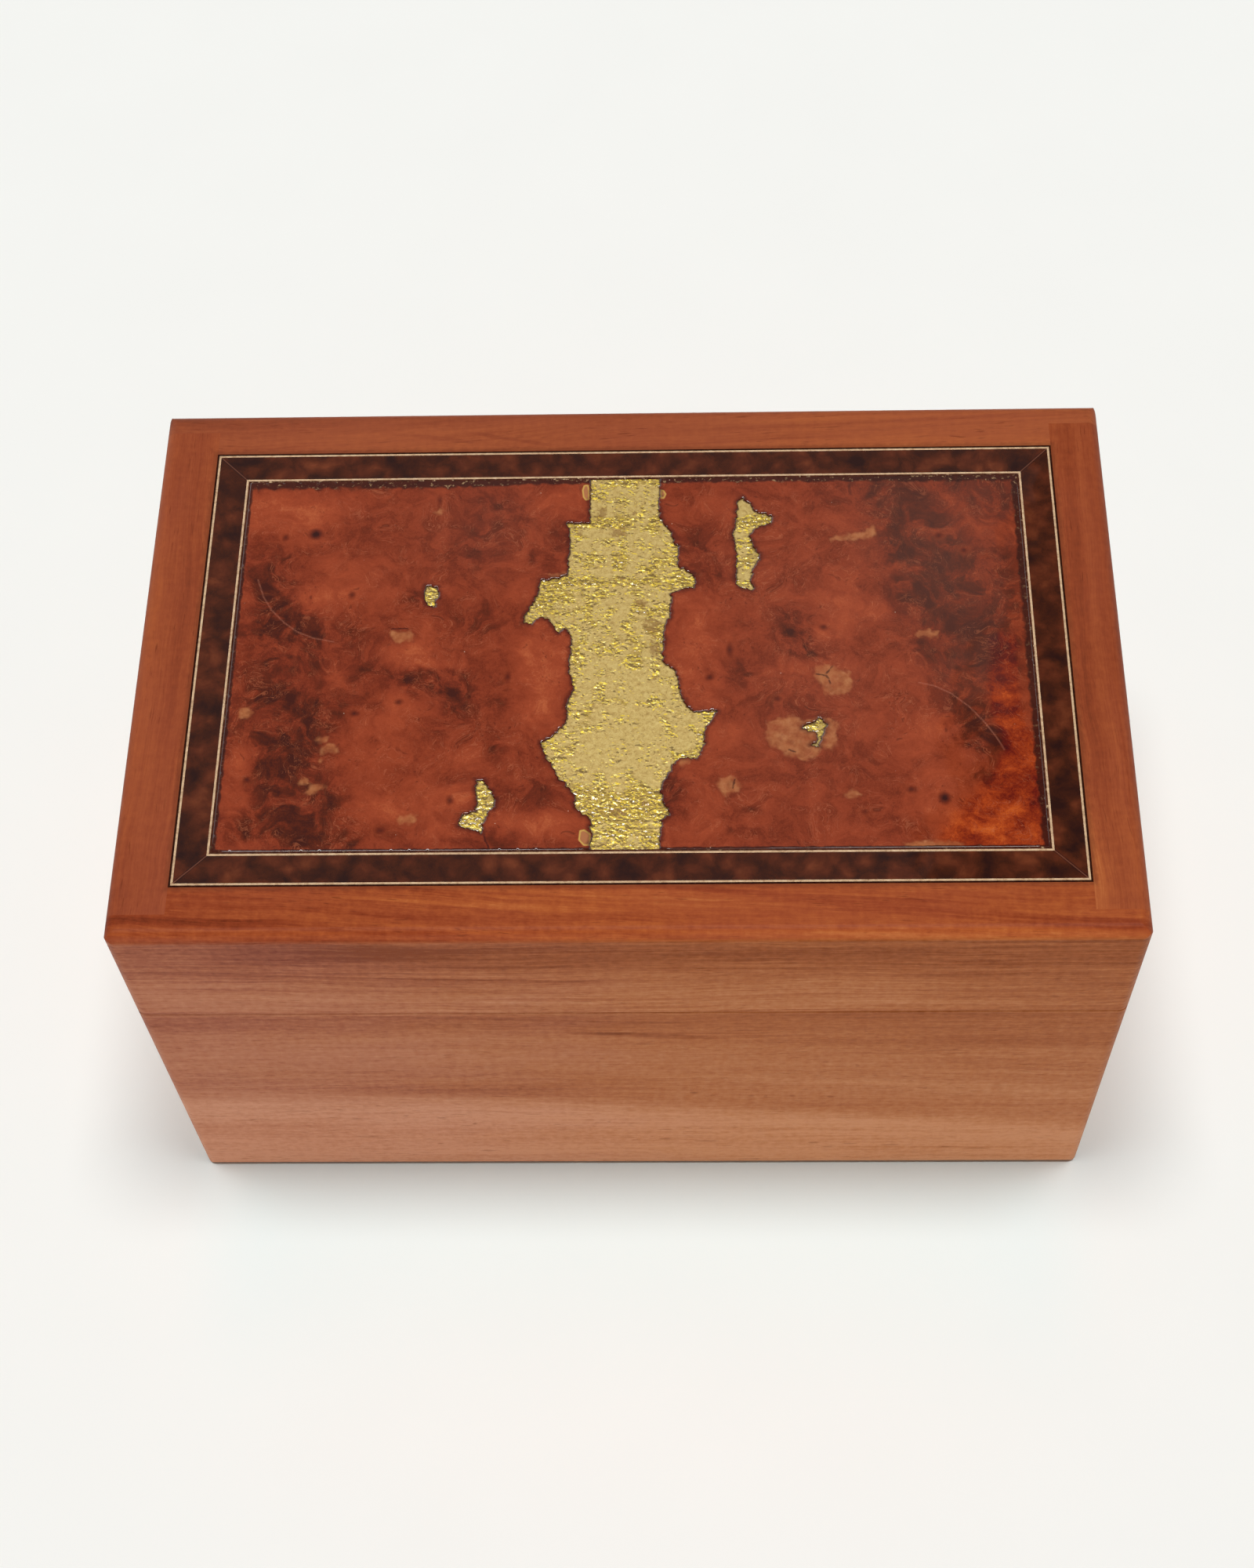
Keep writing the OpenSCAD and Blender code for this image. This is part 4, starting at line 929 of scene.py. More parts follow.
def soft_spots(x, y, spots, warp=2.2):
    wx = x + warp * waves(x / 7, y / 7, 3, 11)
    wy = y + warp * waves(x / 7, y / 7, 3, 17)
    total = np.zeros(len(x))
    for cx, cy, rx, ry, s in spots:
        total += s * np.exp(-(((wx - cx) / rx) ** 2 + ((wy - cy) / ry) ** 2) * .8)
    return total


def burl_marks(piece, pts):
    x, y = pts[:, 0], pts[:, 1]
    dark = soft_spots(x, y, [(a, b, 1.13 * c, 1.13 * d, .90 * e) for a, b, c, d, e in DARK])
    dark += soft_spots(x, y, WET_DARK, 1.2)
    bright = soft_spots(x, y, BRIGHT) + soft_spots(x, y, WET_BRIGHT, 1.2)
    level = .5 + .42 * bright - .52 * dark
    store(piece, "tone", np.where(level < .2, .2 - .2 * np.tanh((.2 - level) / .3), np.clip(level, 0, 1)))
    # purple-grey haze, a painted reflection in the finish laid over the dark places
    store(piece, "purple", np.clip(soft_spots(x, y, [
        (90, 45, 20, 22, .8), (95, 15, 16, 16, .7), (70, 58, 14, 6, .4), (-38, 46, 12, 14, .35),
        (96, -8, 9, 10, .5), (105, 57, 10, 8, .5)]), 0, 1))
    clear = -line_distance(pts, [WET])
    clear[inside(pts, [WET])] *= -1
    store(piece, "wet", smooth(-1, 1, (clear + 1.1 * waves(x / 3, y / 3, 3, 3)) / np.where(y < -40, 3.2, 1.3)))
    # where a faint grey haze is painted into the colour as reflection in the finish
    grey_haze = soft_spots(x, y, [(44, 8, 24, 60, .55), (68, 40, 18, 26, .35), (92, 36, 22, 34, .8), (100, -8, 12, 12, .5),
                             (-40, 48, 18, 18, .5), (-70, 44, 30, 24, .25), (68, -12, 22, 26, .35)])
    store(piece, "grey_haze", np.clip(grey_haze, 0, 1.2))
    fill = line_distance(pts, FILLERS)
    for ring in FILLERS:
        fill[inside(pts, [ring])] = -np.abs(fill[inside(pts, [ring])])
    store(piece, "fill", fill + .95 * waves(x / 1.7, y / 1.7, 3, 21))
    lobe = line_distance(pts, LOBES)
    lobe[inside(pts, LOBES)] *= -1
    store(piece, "lobe", lobe)
    rim = gold_rim(pts)
    store(piece, "rim", rim)
    eye = np.full(len(x), 9.0)
    for cx, cy, rx, ry in EYES:
        d = (np.hypot((x - cx) / rx, (y - cy) / ry) - 1) * min(rx, ry)
        eye = np.minimum(eye, d + .3 * wave(x / 1.2, y / 1.2, 31))
    store(piece, "eye", eye)
    turn = np.full(len(x), 99.0)
    for cx, cy, r in SWIRLS:
        d = np.hypot(x - cx, (y - cy) * 1.1) + 1.6 * waves(x / 6, y / 6, 3, 5)
        turn = np.minimum(turn, d + 12 * smooth(r * .9, r * 1.7, d))
    store(piece, "turn", turn)
    # two faint scratched arcs, one in each half, and the dark bands that go with them
    arc = np.full(len(x), 9.0)
    for line in ([(-107.6, 27.5), (-105.5, 21.5), (-102.6, 16.6), (-98.8, 12.4), (-94.5, 9), (-90, 7), (-84, 5.6)],
                 [(81.8, -9.8), (86, -10.9), (90.5, -13.4), (95.5, -18), (99, -22.6), (101.8, -27), (104.2, -32)]):
        arc = np.minimum(arc, line_distance(pts, [line], closed=False))
    store(piece, "arc", arc)
    crack = line_distance(pts, [[(-38.6, -57.6), (-38.3, -59.2), (-37.4, -61), (-37, -63)]], closed=False)
    for line in ([(58, -3.9), (56.8, -5.6), (55.7, -6.8), (56.6, -8.2), (57, -9.9)],
                 [(-20.6, 26.9), (-17, 26.3), (-13, 27)], [(53, -6.6), (55.6, -7.2)],
                 [(29.8, -40.8), (29.2, -43.6)], [(-67.6, 9.9), (-63, 9.9)],
                 [(44.8, -31.4), (46.6, -32.2)]):
        crack = np.minimum(crack, line_distance(pts, [line], closed=False))
    store(piece, "crack", crack + .2 * wave(x / .9, y / .9, 7))
    # grime along the rim, widest at the back and on the right
    ragged = .5 * waves(x / 2.6, y / 2.6, 3, 13)
    edge = np.minimum.reduce([(x - PANEL_X[0]) / .9, (PANEL_X[1] - x) / 1.7, (y - PANEL_Y[0]) / .6,
                              (PANEL_Y[1] - y) / (1.5 + .9 * smooth(-20, -60, x) + .5 * smooth(60, 100, x))])
    store(piece, "edge", edge + ragged)


def burl(name, flip):
    g = Graph(name)
    x, y, z = g.split(g.at)
    if flip:   # the right half is the left one turned by half a turn
        at = g.join(g.sub(-3.2, x), g.sub(-4.4, y), 0.0)
    else:
        at = g.join(x, y, 0.0)
    tone, purple, wet = g.attr("tone"), g.attr("purple"), g.attr("wet")
    fill, rim, eye, turn, lobe = g.attr("fill"), g.attr("rim"), g.attr("eye"), g.attr("turn"), g.attr("lobe")
    arc, crack, edge = g.attr("arc"), g.attr("crack"), g.attr("edge")
    # the figure bends with two sizes of turbulence
    w1 = g.scaled(g.vmath("SUBTRACT", g.noise(at, .055, 2, .5, 0, True), (.5, .5, .5)), 24)
    a1 = g.vmath("ADD", at, w1)
    w2 = g.scaled(g.vmath("SUBTRACT", g.noise(a1, .20, 2, .5, 0, True), (.5, .5, .5)), 6)
    a2 = g.vmath("ADD", a1, w2)
    cloud = g.noise(a1, .075, 3, .5)
    mottle = g.noise(a2, .21, 3, .5, .4)
    blotch = g.cells(a2, .28, "SMOOTH_F1", soft=.6)
    fine = g.fma(g.noise(a2, 1.25, 3, .6, .4), .35, g.mul(g.noise(at, 1.15, 4, .62, .8), .65))
    grit = g.noise(at, 3.4, 2, .6)
    # soft-edged patches, some round and dark
    patch = g.step(g.noise(g.vmath("ADD", a2, (15, 60, 0)), .17, 2, .5), .42, .58)
    blob = g.step(g.cells(g.vmath("ADD", at, g.scaled(w1, .12)), .24, "SMOOTH_F1", soft=.35), .20, .46)
    # thin pale curls
    curl = g.noise(a2, .40, 2, .5, 1.0)
    hair = g.step(g.math("ABSOLUTE", g.sub(curl, .52)), .030, .004)
    hair = g.mul(hair, g.step(g.noise(a1, .16, 2), .47, .64))
    curl2 = g.noise(g.vmath("ADD", a2, (70, 30, 0)), .8, 2, .5, 1.3)
    hair2 = g.step(g.math("ABSOLUTE", g.sub(curl2, .5)), .035, .005)
    hair2 = g.mul(hair2, g.step(g.noise(a1, .21, 2), .50, .66))
    rings = g.math("SINE", g.fma(turn, 1.30, g.mul(g.sub(mottle, .5), 9)))
    rings = g.mul(rings, g.step(turn, 15, 6))
    # the figure is stronger in the dark places and in the clear corner
    more = g.peak(g.step(tone, .46, .14, 1, 1.6), g.fma(wet, .8, 1))
    own = g.mul(g.sub(cloud, .5), .30)
    own = g.fma(g.sub(mottle, .5), .26, own)
    own = g.fma(g.sub(patch, .5), g.step(tone, .55, .25, .07, .13), own)
    own = g.fma(g.sub(blob, .62), g.step(tone, .50, .20, .04, .11), own)
    own = g.fma(g.sub(blotch, .40), -.10, own)
    own = g.fma(g.sub(fine, .5), .44, own)
    own = g.fma(g.sub(grit, .5), .18, own)
    own = g.fma(rings, .022, own)
    t = g.fma(own, more, g.fma(g.sub(tone, .5), .84, .50))
    dry = g.ramp(t, [
        (.02, on_top(70, 32, 24)), (.20, on_top(90, 39, 26)), (.38, on_top(115, 47, 30)),
        (.55, on_top(140, 60, 37)), (.74, on_top(158, 71, 43)), (.98, on_top(186, 98, 60))])
    moist = g.ramp(t, [
        (.02, paint(70, 13, 5, TOP_LIGHT, .0037)), (.28, paint(102, 26, 12, TOP_LIGHT, .0037)),
        (.48, paint(132, 44, 20, TOP_LIGHT, .0037)), (.68, paint(162, 62, 25, TOP_LIGHT, .0037)),
        (.95, paint(198, 92, 36, TOP_LIGHT, .0037))])
    col = g.mix(wet, dry, moist)
    col = g.mix(g.mul(hair, .36), col, on_top(184, 104, 70))
    col = g.mix(g.mul(hair2, .28), col, on_top(176, 96, 64))
    # painted reflection: a purple-grey haze over the dark places
    purple_haze = g.mul(purple, g.step(t, .80, .22))
    col = g.mix(g.mul(purple_haze, .45), col, on_top(96, 54, 44))
    # fine pores and small eyes
    dots = g.cells(a2, .52, "F1")
    many = g.step(g.noise(a1, .09, 2), .48, .60)
    col = g.mix(g.mul(g.mul(g.step(dots, .26, .12), many), .46), col, on_top(78, 34, 24))
    prick = g.step(g.cells(a2, 1.1, "F1"), .20, .08)
    col = g.mix(g.mul(prick, .20), col, on_top(80, 34, 25))
    # knots
    col = g.mix(g.step(eye, 2.4, .3, 0, .22), col, on_top(160, 72, 42))
    col = g.mix(g.step(eye, .8, -.2, 0, .62), col, on_top(96, 36, 24))
    col = g.mix(g.mul(g.step(eye, .1, -.7), g.step(eye, -.5, -1.2, .5, .92)), col, on_top(50, 20, 18))
    # filler patches, uneven and partly see-through
    mealy = g.noise(at, .42, 3, .55)
    body = g.ramp(mealy, [
        (.30, on_top(156, 88, 54)), (.5, on_top(172, 106, 66)), (.70, on_top(184, 122, 80))])
    thick = g.noise(at, .22, 3, .6)
    col = g.mix(g.step(g.math("ABSOLUTE", g.sub(fill, .35)), .8, .0, 0, .16), col, on_top(104, 48, 32))
    cover = g.mul(g.step(fill, .55, -.75), g.step(thick, .34, .60, .40, .86))
    col = g.mix(cover, col, body)
    # clear lobes with leaf below
    col = g.mix(g.step(lobe, .15, -.15, 0, .85), col, on_top(178, 118, 78))
    col = g.mix(g.step(g.math("ABSOLUTE", g.add(lobe, .25)), .35, .1, 0, .8), col, on_top(206, 166, 84))
    # dark seam beside the gold and thin dark line at its edge, partly the veneer's dark edge and partly painted shadow;
    # then cracks, arcs and the grimy rim of the panel
    near = g.fma(g.sub(mottle, .5), 2.2, rim)
    col = g.mix(g.step(near, 1.5, .1, 0, .62), col, on_top(66, 28, 20))
    col = g.mix(g.step(rim, .30, .1, 0, .7), col, on_top(58, 30, 16))
    col = g.mix(g.step(crack, .40, .1, 0, .75), col, on_top(56, 26, 20))
    col = g.mix(g.step(arc, .40, .05, 0, .30), col, on_top(188, 116, 92))
    col = g.mix(g.step(edge, 1.35, .75, 0, .86), col, on_top(52, 28, 20))
    flaw = g.noise(at, .62, 4, .72)
    back = g.fma(g.step(y, 56, 60), .75, .25)
    specks = g.mul(g.step(flaw, .56, .66), g.step(edge, 1.2, .7))
    col = g.mix(g.mul(g.mul(specks, back), .8), col, on_top(176, 142, 104))
    dust = g.step(g.cells(at, .13, "F1"), .026, .012)
    col = g.mix(g.mul(dust, .7), col, on_top(222, 186, 160))
    # painted reflection: the grey haze is added to the colour
    grey_haze_amount = g.mul(g.attr("grey_haze"), g.fma(g.sub(cloud, .5), .6, 1))
    col = g.madd(g.join(grey_haze_amount, grey_haze_amount, grey_haze_amount), (.0070, .0078, .0062), col)
    g.set(Base_Color=col, Roughness=g.line(mottle, .2, .8, .5, .34), Normal=g.bump(g.fma(fine, .5, mottle), .00004, .3))
    lacquer(g)
    return g.mat


def rough_line(points, closed, step=.36, amount=.34):
    """The line at fine steps with a broken edge; it stays clean where it leaves the panel."""
    if closed:
        fine = resample(points, step)
    else:
        fine = resample(points, step)
        last = points[-1]
        cut = min(range(len(fine)), key=lambda i: math.dist(fine[i], last))
        fine = fine[: cut + 1]
    p = np.array(fine)
    k = smooth(0, 1.4, 61.9 - np.abs(p[:, 1]))
    dx = waves(p[:, 0] / 1.5, p[:, 1] / 1.5, 3, 131, .62)
    dy = waves(p[:, 0] / 1.5, p[:, 1] / 1.5, 3, 137, .62)
    p = p + np.stack([dx * k, dy * k], 1) * amount / .5
    return [tuple(q) for q in p.tolist()]


RIVER_L, RIVER_R = rough_line(RIVER_L, False), rough_line(RIVER_R, False)
CHIP_TALL, CHIP_SMALL = rough_line(CHIP_TALL, True, .3, .3), rough_line(CHIP_SMALL, True, .25, .22)
CHIP_HOOK, CHIP_STAR = rough_line(CHIP_HOOK, True, .3, .26), rough_line(CHIP_STAR, True, .25, .2)


def gold_rim(pts):
    """Distance from the nearest edge between gold and burl."""
    river = line_distance(pts, [RIVER_L, RIVER_R], closed=False)
    return np.minimum(river, line_distance(pts, [CHIP_TALL, CHIP_SMALL, CHIP_HOOK, CHIP_STAR]))


river_ring = crop(RIVER_L + RIVER_R)
left_ring = crop([(-130.0, 90.0)] + RIVER_L + [(-130.0, -90.0)])
right_ring = crop([(130.0, -90.0)] + RIVER_R + [(130.0, 90.0)])

def veneer_edge():
    """Dull edge of the veneer where it stands a little above the leaf."""
    g = Graph("burl_edge")
    n = g.noise(g.at, 1.4, 4, .6)
    g.set(Base_Color=g.ramp(n, [(.3, lin(50, 23, 16)), (.7, lin(92, 42, 28))]),
          Roughness=g.line(n, 0, 1, .8, .6), Normal=g.bump(n, .00004, .4))
    g.bsdf.inputs["Specular IOR Level"].default_value = .1
    return g.mat


BURL_EDGE = veneer_edge()
for side, ring, holes, flip in (
    ("left", left_ring, [CHIP_SMALL, CHIP_HOOK], False),
    ("right", right_ring, [CHIP_TALL, CHIP_STAR], True),
):
    piece, pts, n_top = plate(f"burl_{side}_veneer", [ring] + holes, .5, 5, Z_TOP, Z_INLAY)
    burl_marks(piece, pts)
    piece.data.materials.append(burl(f"burl_{side}", flip))
    piece.data.materials.append(BURL_EDGE)
    top = np.zeros(len(piece.data.polygons), bool)
    piece.data.polygons.foreach_get("use_smooth", top)
    piece.data.polygons.foreach_set("material_index", (~top).astype(np.int32))
    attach(piece, "lid")
    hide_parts(f"burl_{side}_half")


# ------------------------------------------------------------------- gold leaf

# Brown stains in the leaf: x, y, half width, half height, strength
STAINS = [
    (-8.0, 50.0, 1.8, 2.6, 1.0), (-3.3, 43.3, 2.2, 1.8, 1.0), (-14.4, 43.0, 1.8, 2.4, .6), (1.2, 50.2, .8, 1.0, .8),
    (3.5, 18.5, 2.0, 1.7, .9), (6.8, 11.0, 2.6, 3.2, .8), (8.2, 2.6, 1.6, 3.6, .9), (-9.0, -16.2, 2.4, .9, .6),
    (-3.3, -51.0, 3.6, 1.6, .9), (4.8, -47.6, 2.4, 1.2, .7), (-26.4, 22.0, 1.6, 3.0, .4), (8.0, -7.5, 1.4, 1.6, .5),
    (-1.0, 38.0, .7, 2.0, .6), (-14.6, 1.5, 1.0, 2.6, .5), (-1.0, 26.6, 4.0, .8, .4), (-15.0, -12.6, 1.2, 1.6, .4),
]


def crumple(x, y):
    """How much the leaf is crinkled, 0 flat to 1."""
    c = .34 + 1.0 * waves(x / 4.5, y / 4.5, 3, 61)
    for cy, half, s in ((25.5, 1.5, .7), (46.5, 2.4, .5), (32, 3, .2), (-46, 2.6, .8), (-49.5, 3, .6), (-57, 6, .55),
                        (6, 8, .2), (61, 1.5, .4)):
        c = c + s * np.exp(-((y - cy) / half) ** 2)
    for cx, cy, r, s in ((-25, 18, 4, .7), (-20, 21, 4, .6), (22, -19, 3, .7), (-20, -30, 3, .6), (16, -32, 3, .5),
                         (9, 8, 3.5, .6), (-15, 2, 3, .6), (12, 35, 3, .6), (15, 27, 3, .3), (-12, 24, 4, .3),
                         (35, 38, 3, .8), (39, 47.5, 2, .8), (-39, -48, 5, .5), (-43, -54, 3, .7), (53, -25, 6, .5),
                         (-57, 22, 4, .4)):
        c = c + s * np.exp(-((x - cx) ** 2 + (y - cy) ** 2) / r**2)
    for cx, cy, r, s in ((0, -8, 6, .3), (2, -26, 9, .5), (-8, 12, 5, .2), (2, 57, 4, .4), (15, -26, 3, .4),
                         (-8, -32, 6, .4), (33.5, 28, 3, .5), (34, 53, 2, .3), (0, 20, 3, .2), (6, 38, 4, .3)):
        c = c - s * np.exp(-((x - cx) ** 2 + (y - cy) ** 2) / r**2)
    return np.clip(c, .08, 1.1)


def relief(x, y):
    """Folds of the crinkled leaf, mm: flat pads between sharp folds."""
    c = crumple(x, y)
    wx = x + .8 * waves(x / 2.3, y / 2.3, 2, 71)
    wy = y + .8 * waves(x / 2.3, y / 2.3, 2, 73)
    fold = np.clip(1 - 4.6 * np.abs(waves(wx / 2.9, wy / 2.0, 2, 81)), 0, 1)
    fold2 = np.clip(1 - 4.2 * np.abs(waves(wx / 1.6, wy / 1.05, 2, 87)), 0, 1)
    pads = np.abs(waves(wx / 1.7, wy / 1.25, 2, 91))
    h = c * (.27 * fold + .17 * fold2 - .26 * pads)
    return h + .010 * waves(x / 1.1, y / .8, 3, 95)


def lean(x, y):
    """How steeply the leaf rises towards the back."""
    e = .13
    across = (relief(x + e, y) - relief(x - e, y)) / (2 * e)
    along = (relief(x, y + e) - relief(x, y - e)) / (2 * e)
    return .42 * across + .91 * along


def leaf(x, y):
    """Height of the leaf below the finished surface, mm."""
    return np.clip(.42 * relief(x, y) - .33, -.75, -.06)


def gold(name):
    g = Graph(name)
    crinkle, rim, stain, lean = g.attr("crinkle"), g.attr("rim"), g.attr("stain"), g.attr("lean")
    x, y, z = g.split(g.at)
    at = g.join(x, y, 0.0)
    n = g.noise(at, .8, 4, .62, .6)
    fine = g.noise(at, 2.6, 3, .6, .6)
    flat = g.vmath("MULTIPLY", at, (1, 1.45, 1))
    col = g.ramp(g.fma(g.sub(fine, .5), .6, n), [
        (.28, (.325, .205, .056, 1)), (.46, (.460, .318, .098, 1)), (.66, (.528, .390, .138, 1))])
    # crumpled parts show a deeper yellow
    col = g.mix(g.step(crinkle, .38, 1.0, 0, .80), col, (.335, .212, .036, 1))

    # clusters of small folds: bright on the side that faces the window, dark on the other
    x, y, z = g.split(at)
    push = g.scaled(g.vmath("SUBTRACT", g.noise(at, .35, 2, .5, 0, True), (.5, .5, .5)), 2.2)
    bent = g.vmath("ADD", flat, push)

    def folds(scale, seed, reach, lo, hi, ask):
        here = g.vmath("ADD", bent, seed)
        there = g.vmath("ADD", here, (.25 * reach, reach, 0))
        rise = g.sub(g.noise(there, scale, 1.5, .5), g.noise(here, scale, 1.5, .5))
        on = g.fma(crinkle, .26, g.noise(g.vmath("ADD", at, seed), .17, 3, .6))
        on = g.step(on, ask - .035, ask + .035)
        return g.mul(g.step(rise, lo + .016, hi + .016), on), g.mul(g.step(rise, -lo, -hi), on)

    lit1, dim1 = folds(.48, (0, 0, 0), .55, .040, .092, .645)
    lit2, dim2 = folds(.85, (40, 17, 0), .32, .044, .096, .655)
    lit3, dim3 = folds(.62, (70, 91, 0), .42, .092, .130, .570)
    # the sides of the larger folds
    lit5, dim5 = g.mul(g.step(lean, -.34, -.66), .8), g.step(lean, .26, .56)
    lit = g.peak(g.peak(lit1, lit2), g.peak(lit3, g.mul(lit5, .8)))
    dim = g.peak(g.peak(dim1, dim2), g.peak(dim3, g.mul(dim5, .8)))
    col = g.mix(g.mul(g.sub(1, lit), g.mul(dim, .86)), col, (.105, .060, .009, 1))
    lit = g.mul(lit, g.step(crinkle, .45, .95, 1, .62))
    col = g.mix(g.mul(lit, .84), col, (.84, .61, .040, 1))
    glint = g.mul(lit, g.step(g.noise(at, 1.3, 2, .5), .54, .62))
    col = g.mix(g.mul(glint, .9), col, (1.0, .90, .36, 1))
    # stains, small tears through to the dark ground, and painted shade along the rim of the leaf
    patch = g.step(g.fma(g.sub(g.noise(at, .50, 3, .65), .5), 2.4, stain), .36, .74)
    col = g.mix(g.mul(g.mul(patch, g.step(stain, .04, .20)), .66), col, (.20, .098, .022, 1))
    tears_and_edge_shade = g.step(g.noise(at, 1.15, 4, .72, 1.0), .64, .70)
    tears_and_edge_shade = g.mul(tears_and_edge_shade, g.fma(crinkle, .6, .4))
    # near the rim the same dark is painted shade beside the veneer's edge
    tears_and_edge_shade = g.peak(tears_and_edge_shade, g.mul(g.step(rim, .6, .1), g.step(g.noise(at, .9, 3, .6), .40, .56)))
    col = g.mix(g.mul(tears_and_edge_shade, .82), col, (.080, .040, .008, 1))
    # a thin dark line along the rim of the leaf, painted shade beside the veneer's edge
    col = g.mix(g.step(rim, .34, .10, 0, .35), col, (.110, .060, .012, 1))
    dull = g.peak(tears_and_edge_shade, g.mul(dim, .8))
    shine = g.fma(lit, .34, g.line(dull, 0, 1, .32, .10))
    g.set(Base_Color=col, Roughness=g.fma(dull, .22, g.line(crinkle, 0, 1, .38, .34)),
          Metallic=shine, Normal=g.bump(g.fma(fine, .35, g.mul(n, .8)), .00007, .5))
    g.bsdf.inputs["Coat Weight"].default_value = 1.0
    g.bsdf.inputs["Coat Roughness"].default_value = .06
    g.bsdf.inputs["Coat IOR"].default_value = 1.5
    g.bsdf.inputs["Specular IOR Level"].default_value = .2
    swell = g.noise(g.at, .045, 2, .5)
    g.put(g.bsdf.inputs["Coat Normal"], g.bump(swell, .0009, .35))
    return g.mat


GOLD = gold("gold_leaf")


def gold_piece(name, ring, node, step):
    piece, pts, n_top = plate(name, [ring], step, 5, Z_TOP, Z_INLAY, leaf, .22)
    x, y = pts[:, 0], pts[:, 1]
    store(piece, "crinkle", np.clip(crumple(x, y), 0, 1))
    store(piece, "rim", gold_rim(pts))
    store(piece, "lean", lean(x, y))
    store(piece, "stain", np.clip(soft_spots(x, y, STAINS, 1.2), 0, 1))
    piece.data.materials.append(GOLD)
    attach(piece, "lid")
    if node:
        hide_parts(node)
    return piece


gold_piece("gold_river_leaf", river_ring, "gold_river", .24)
gold_piece("gold_chip_tall_leaf", CHIP_TALL, "gold_chips", .2)
for label, ring in (("small", CHIP_SMALL), ("hook", CHIP_HOOK), ("star", CHIP_STAR)):
    gold_piece(f"gold_chip_{label}_leaf", ring, None, .18)


# -------------------------------------------------------------------- hardware

def brass(name, grain=(1, 1, 1)):
    g = Graph(name)
    rub = g.noise(g.vmath("MULTIPLY", g.at, grain), 1, 4, .65)
    age = g.noise(g.at, .12, 4, .6)
    spot = g.noise(g.at, .7, 4, .7)
    col = g.ramp(age, [(.3, (.48, .31, .10, 1)), (.55, (.72, .50, .20, 1)), (.8, (.84, .62, .29, 1))])
    col = g.mix(g.step(spot, .60, .72, 0, .5), col, (.22, .13, .05, 1))
    g.set(Base_Color=col, Roughness=g.fma(rub, .18, g.line(age, .2, .8, .32, .16)), Metallic=1.0,
          Normal=g.bump(rub, .00003, .5))
    return g.mat


LEAF_BRASS = brass("brass_leaf", (.25, 6, 6))
PIN_BRASS = brass("brass_pin", (6, .4, .4))
SCREW_BRASS = brass("brass_screw", (4, 4, .6))
for side in ("left", "right"):
    dress(f"hinge_{side}_base_leaf", LEAF_BRASS)
    dress(f"hinge_{side}_lid_leaf", LEAF_BRASS)
    dress(f"hinge_{side}_pin", PIN_BRASS)
dress("hinge_base_screws", SCREW_BRASS)
dress("hinge_lid_screws", SCREW_BRASS)


# ------------------------------------------------------------ floor and lights

def ground():
    bm = bmesh.new()
    bmesh.ops.create_grid(bm, x_segments=24, y_segments=24, size=4.0)
    mesh = bpy.data.meshes.new("floor")
    bm.to_mesh(mesh)
    bm.free()
    o = bpy.data.objects.new("floor", mesh)
    o.location = (0, 0, -.0002)
    bpy.context.scene.collection.objects.link(o)
    g = Graph("floor_paper")
    n = g.noise(g.at, .02, 3, .5)
    col = g.ramp(n, [(.3, (.927, .934, .904, 1)), (.7, (.935, .942, .912, 1))])
    # the paper is a little cooler near the box, where red light from the wood falls on it
    x, y, z = g.split(g.at)
    out = g.join(g.peak(g.sub(g.math("ABSOLUTE", x), 140), 0), g.peak(g.sub(g.math("ABSOLUTE", y), 89), 0), 0)
    near = g.step(g.vmath("LENGTH", out), 95, 0)
    near = g.mul(near, g.step(y, 0, -89, .1, 1))
    near = g.mul(near, g.step(g.math("ABSOLUTE", x), 118, 152, 1, .12))
    col = g.mix(near, col, (.885, .990, 1.014, 1), "MULTIPLY")
    g.set(Base_Color=col, Roughness=.9,
          Normal=g.bump(g.noise(g.at, 1.2, 3), .00002, .2))
    g.bsdf.inputs["Specular IOR Level"].default_value = .1
    mesh.materials.append(g.mat)


ground()


def panel_light(name, place, aim, size_x, size_y, glow, turn=0.0):
    """A soft rectangular light of radiance glow."""
    data = bpy.data.lights.new(name, "AREA")
    data.shape = "RECTANGLE"
    data.size, data.size_y = size_x, size_y
    data.energy = glow * math.pi * size_x * size_y
    o = bpy.data.objects.new(name, data)
    o.location = place
    d = Vector(aim) - Vector(place)
    o.rotation_euler = d.to_track_quat("-Z", "Y").to_euler()
    if turn:
        o.rotation_euler.rotate_axis("Z", turn)
    bpy.context.scene.collection.objects.link(o)
    o.visible_camera = False
    return o


def far_light(name, rise, turn, wide, power):
    """A very distant soft light: rise above the horizon, turn from the front to the left,
    both in degrees, and the angle it fills in the sky."""
    data = bpy.data.lights.new(name, "SUN")
    data.energy, data.angle = power, math.radians(wide)
    o = bpy.data.objects.new(name, data)
    r, t = math.radians(rise), math.radians(turn)
    back = Vector((-math.cos(r) * math.sin(t), -math.cos(r) * math.cos(t), math.sin(r)))
    o.rotation_euler = back.to_track_quat("Z", "Y").to_euler()
    bpy.context.scene.collection.objects.link(o)
    return o


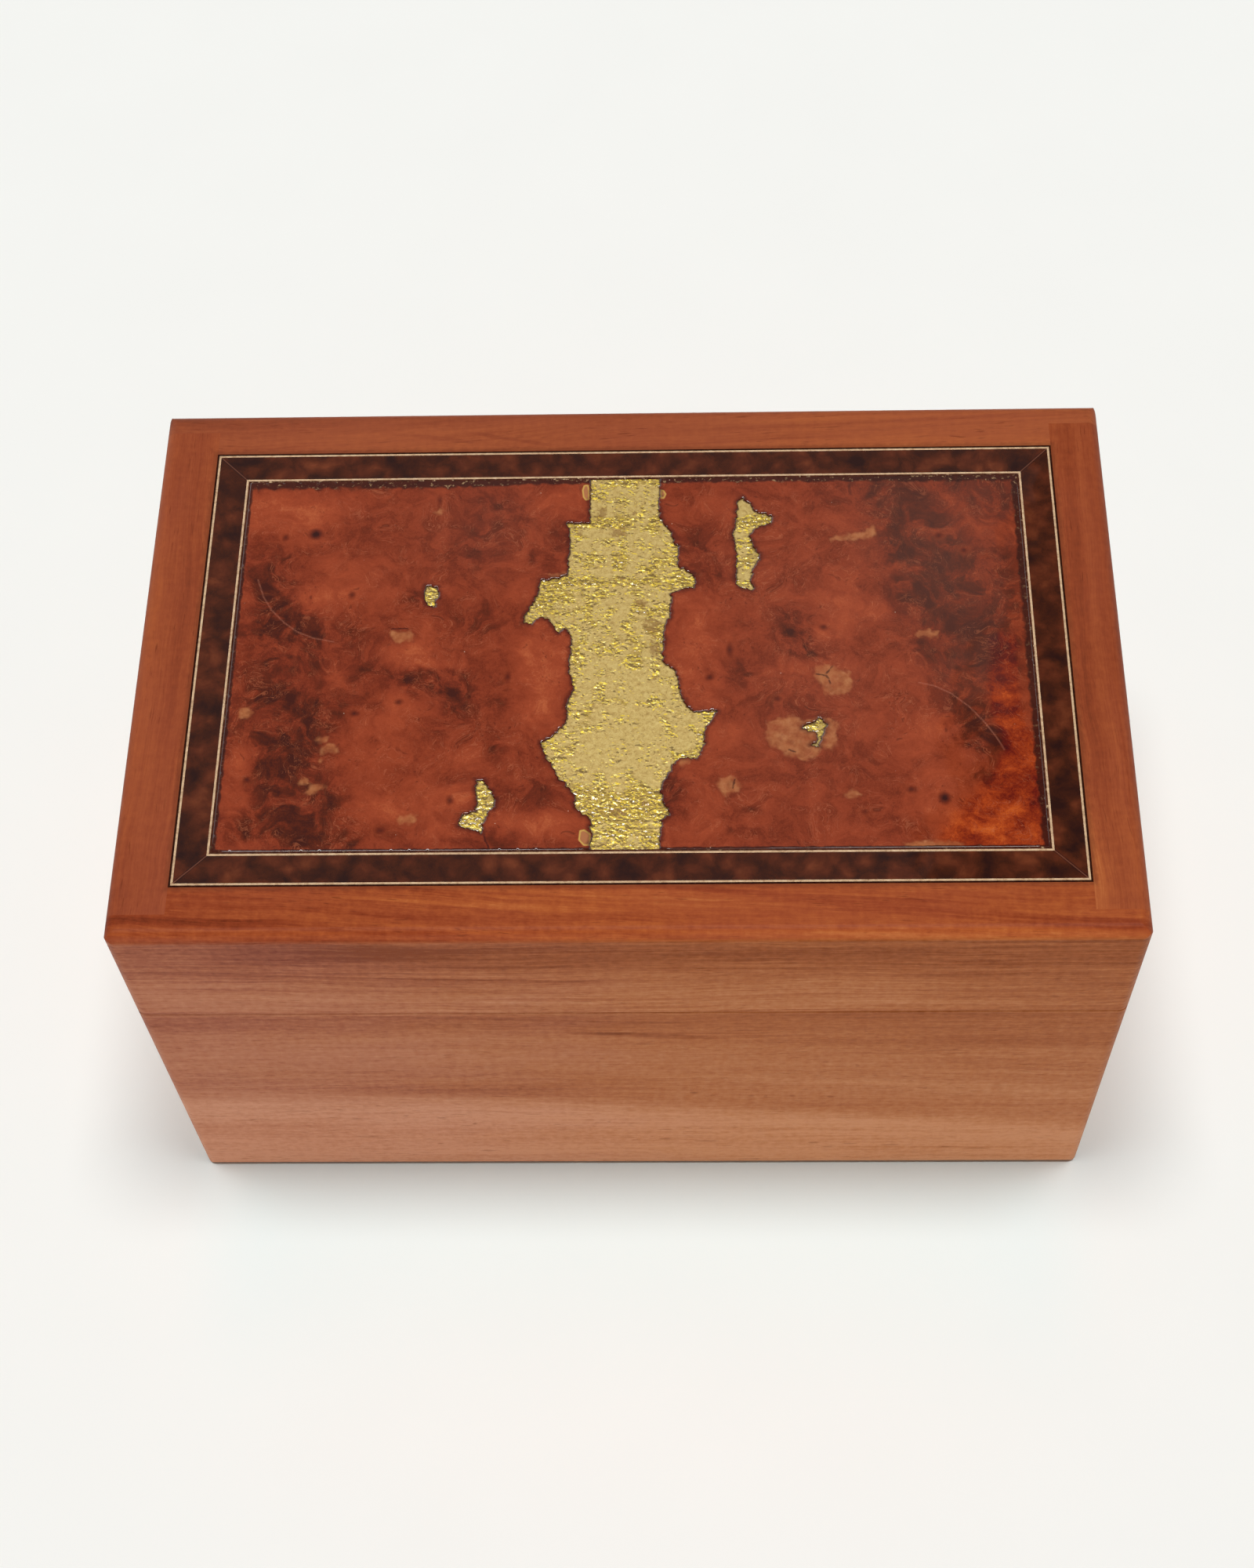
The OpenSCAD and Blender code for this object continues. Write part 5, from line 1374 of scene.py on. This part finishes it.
# two from overhead, a little behind the box and to either side: the shadow stays close to its
# foot in front and is softer and wider at the sides
far_light("light_over_left", 80.86, 103.1, 15, 1.345)
far_light("light_over_right", 80.86, -103.1, 15, 1.345)
# low and wide from the front, for the front face only: it leaves the floor even
front = far_light("light_front", 16, 12, 50, 2.2)
keep_off = bpy.data.collections.new("not_lit_from_front")
keep_off.objects.link(bpy.data.objects["floor"])
keep_off.collection_objects[0].light_linking.link_state = "EXCLUDE"
# two weaker ones for the sides and the back
right = far_light("light_right", 20, -105, 60, .9)
left = far_light("light_left", 20, 140, 60, .9)
for low in (front, right, left):
    low.light_linking.receiver_collection = keep_off
# pale card that the polished panel mirrors; its right edge ends over the box
card = panel_light("light_card", (-.345, .92, 1.5), (-.345, .92, 0), 1.24, .90, .12)
card.rotation_euler = (0, 0, math.radians(-15))

world = bpy.data.worlds.new("studio")
bpy.context.scene.world = world
world.use_nodes = True
wt = world.node_tree
wt.nodes.clear()
wo = wt.nodes.new("ShaderNodeOutputWorld")
seen = wt.nodes.new("ShaderNodeBackground")
lit = wt.nodes.new("ShaderNodeBackground")
pick = wt.nodes.new("ShaderNodeMixShader")
ray = wt.nodes.new("ShaderNodeLightPath")
seen.inputs[0].default_value = (.92, .913, .88, 1)
lit.inputs[0].default_value = (1, .99, .97, 1)
lit.inputs[1].default_value = .12
wt.links.new(ray.outputs["Is Camera Ray"], pick.inputs[0])
wt.links.new(lit.outputs[0], pick.inputs[1])
wt.links.new(seen.outputs[0], pick.inputs[2])
wt.links.new(pick.outputs[0], wo.inputs[0])


# ---------------------------------------------------------------------- camera

cam_data = bpy.data.cameras.new("camera")
cam_data.lens = 56.0871
cam_data.sensor_width = 36
cam_data.clip_start = .01
camera = bpy.data.objects.new("camera", cam_data)
camera.location = (.0199721, -.3823476, .7415766)
camera.rotation_euler = (.5273318, .0291240, .0085598)
bpy.context.scene.collection.objects.link(camera)
bpy.context.scene.camera = camera
bpy.context.scene.view_settings.view_transform = "Standard"

bpy.context.view_layer.update()
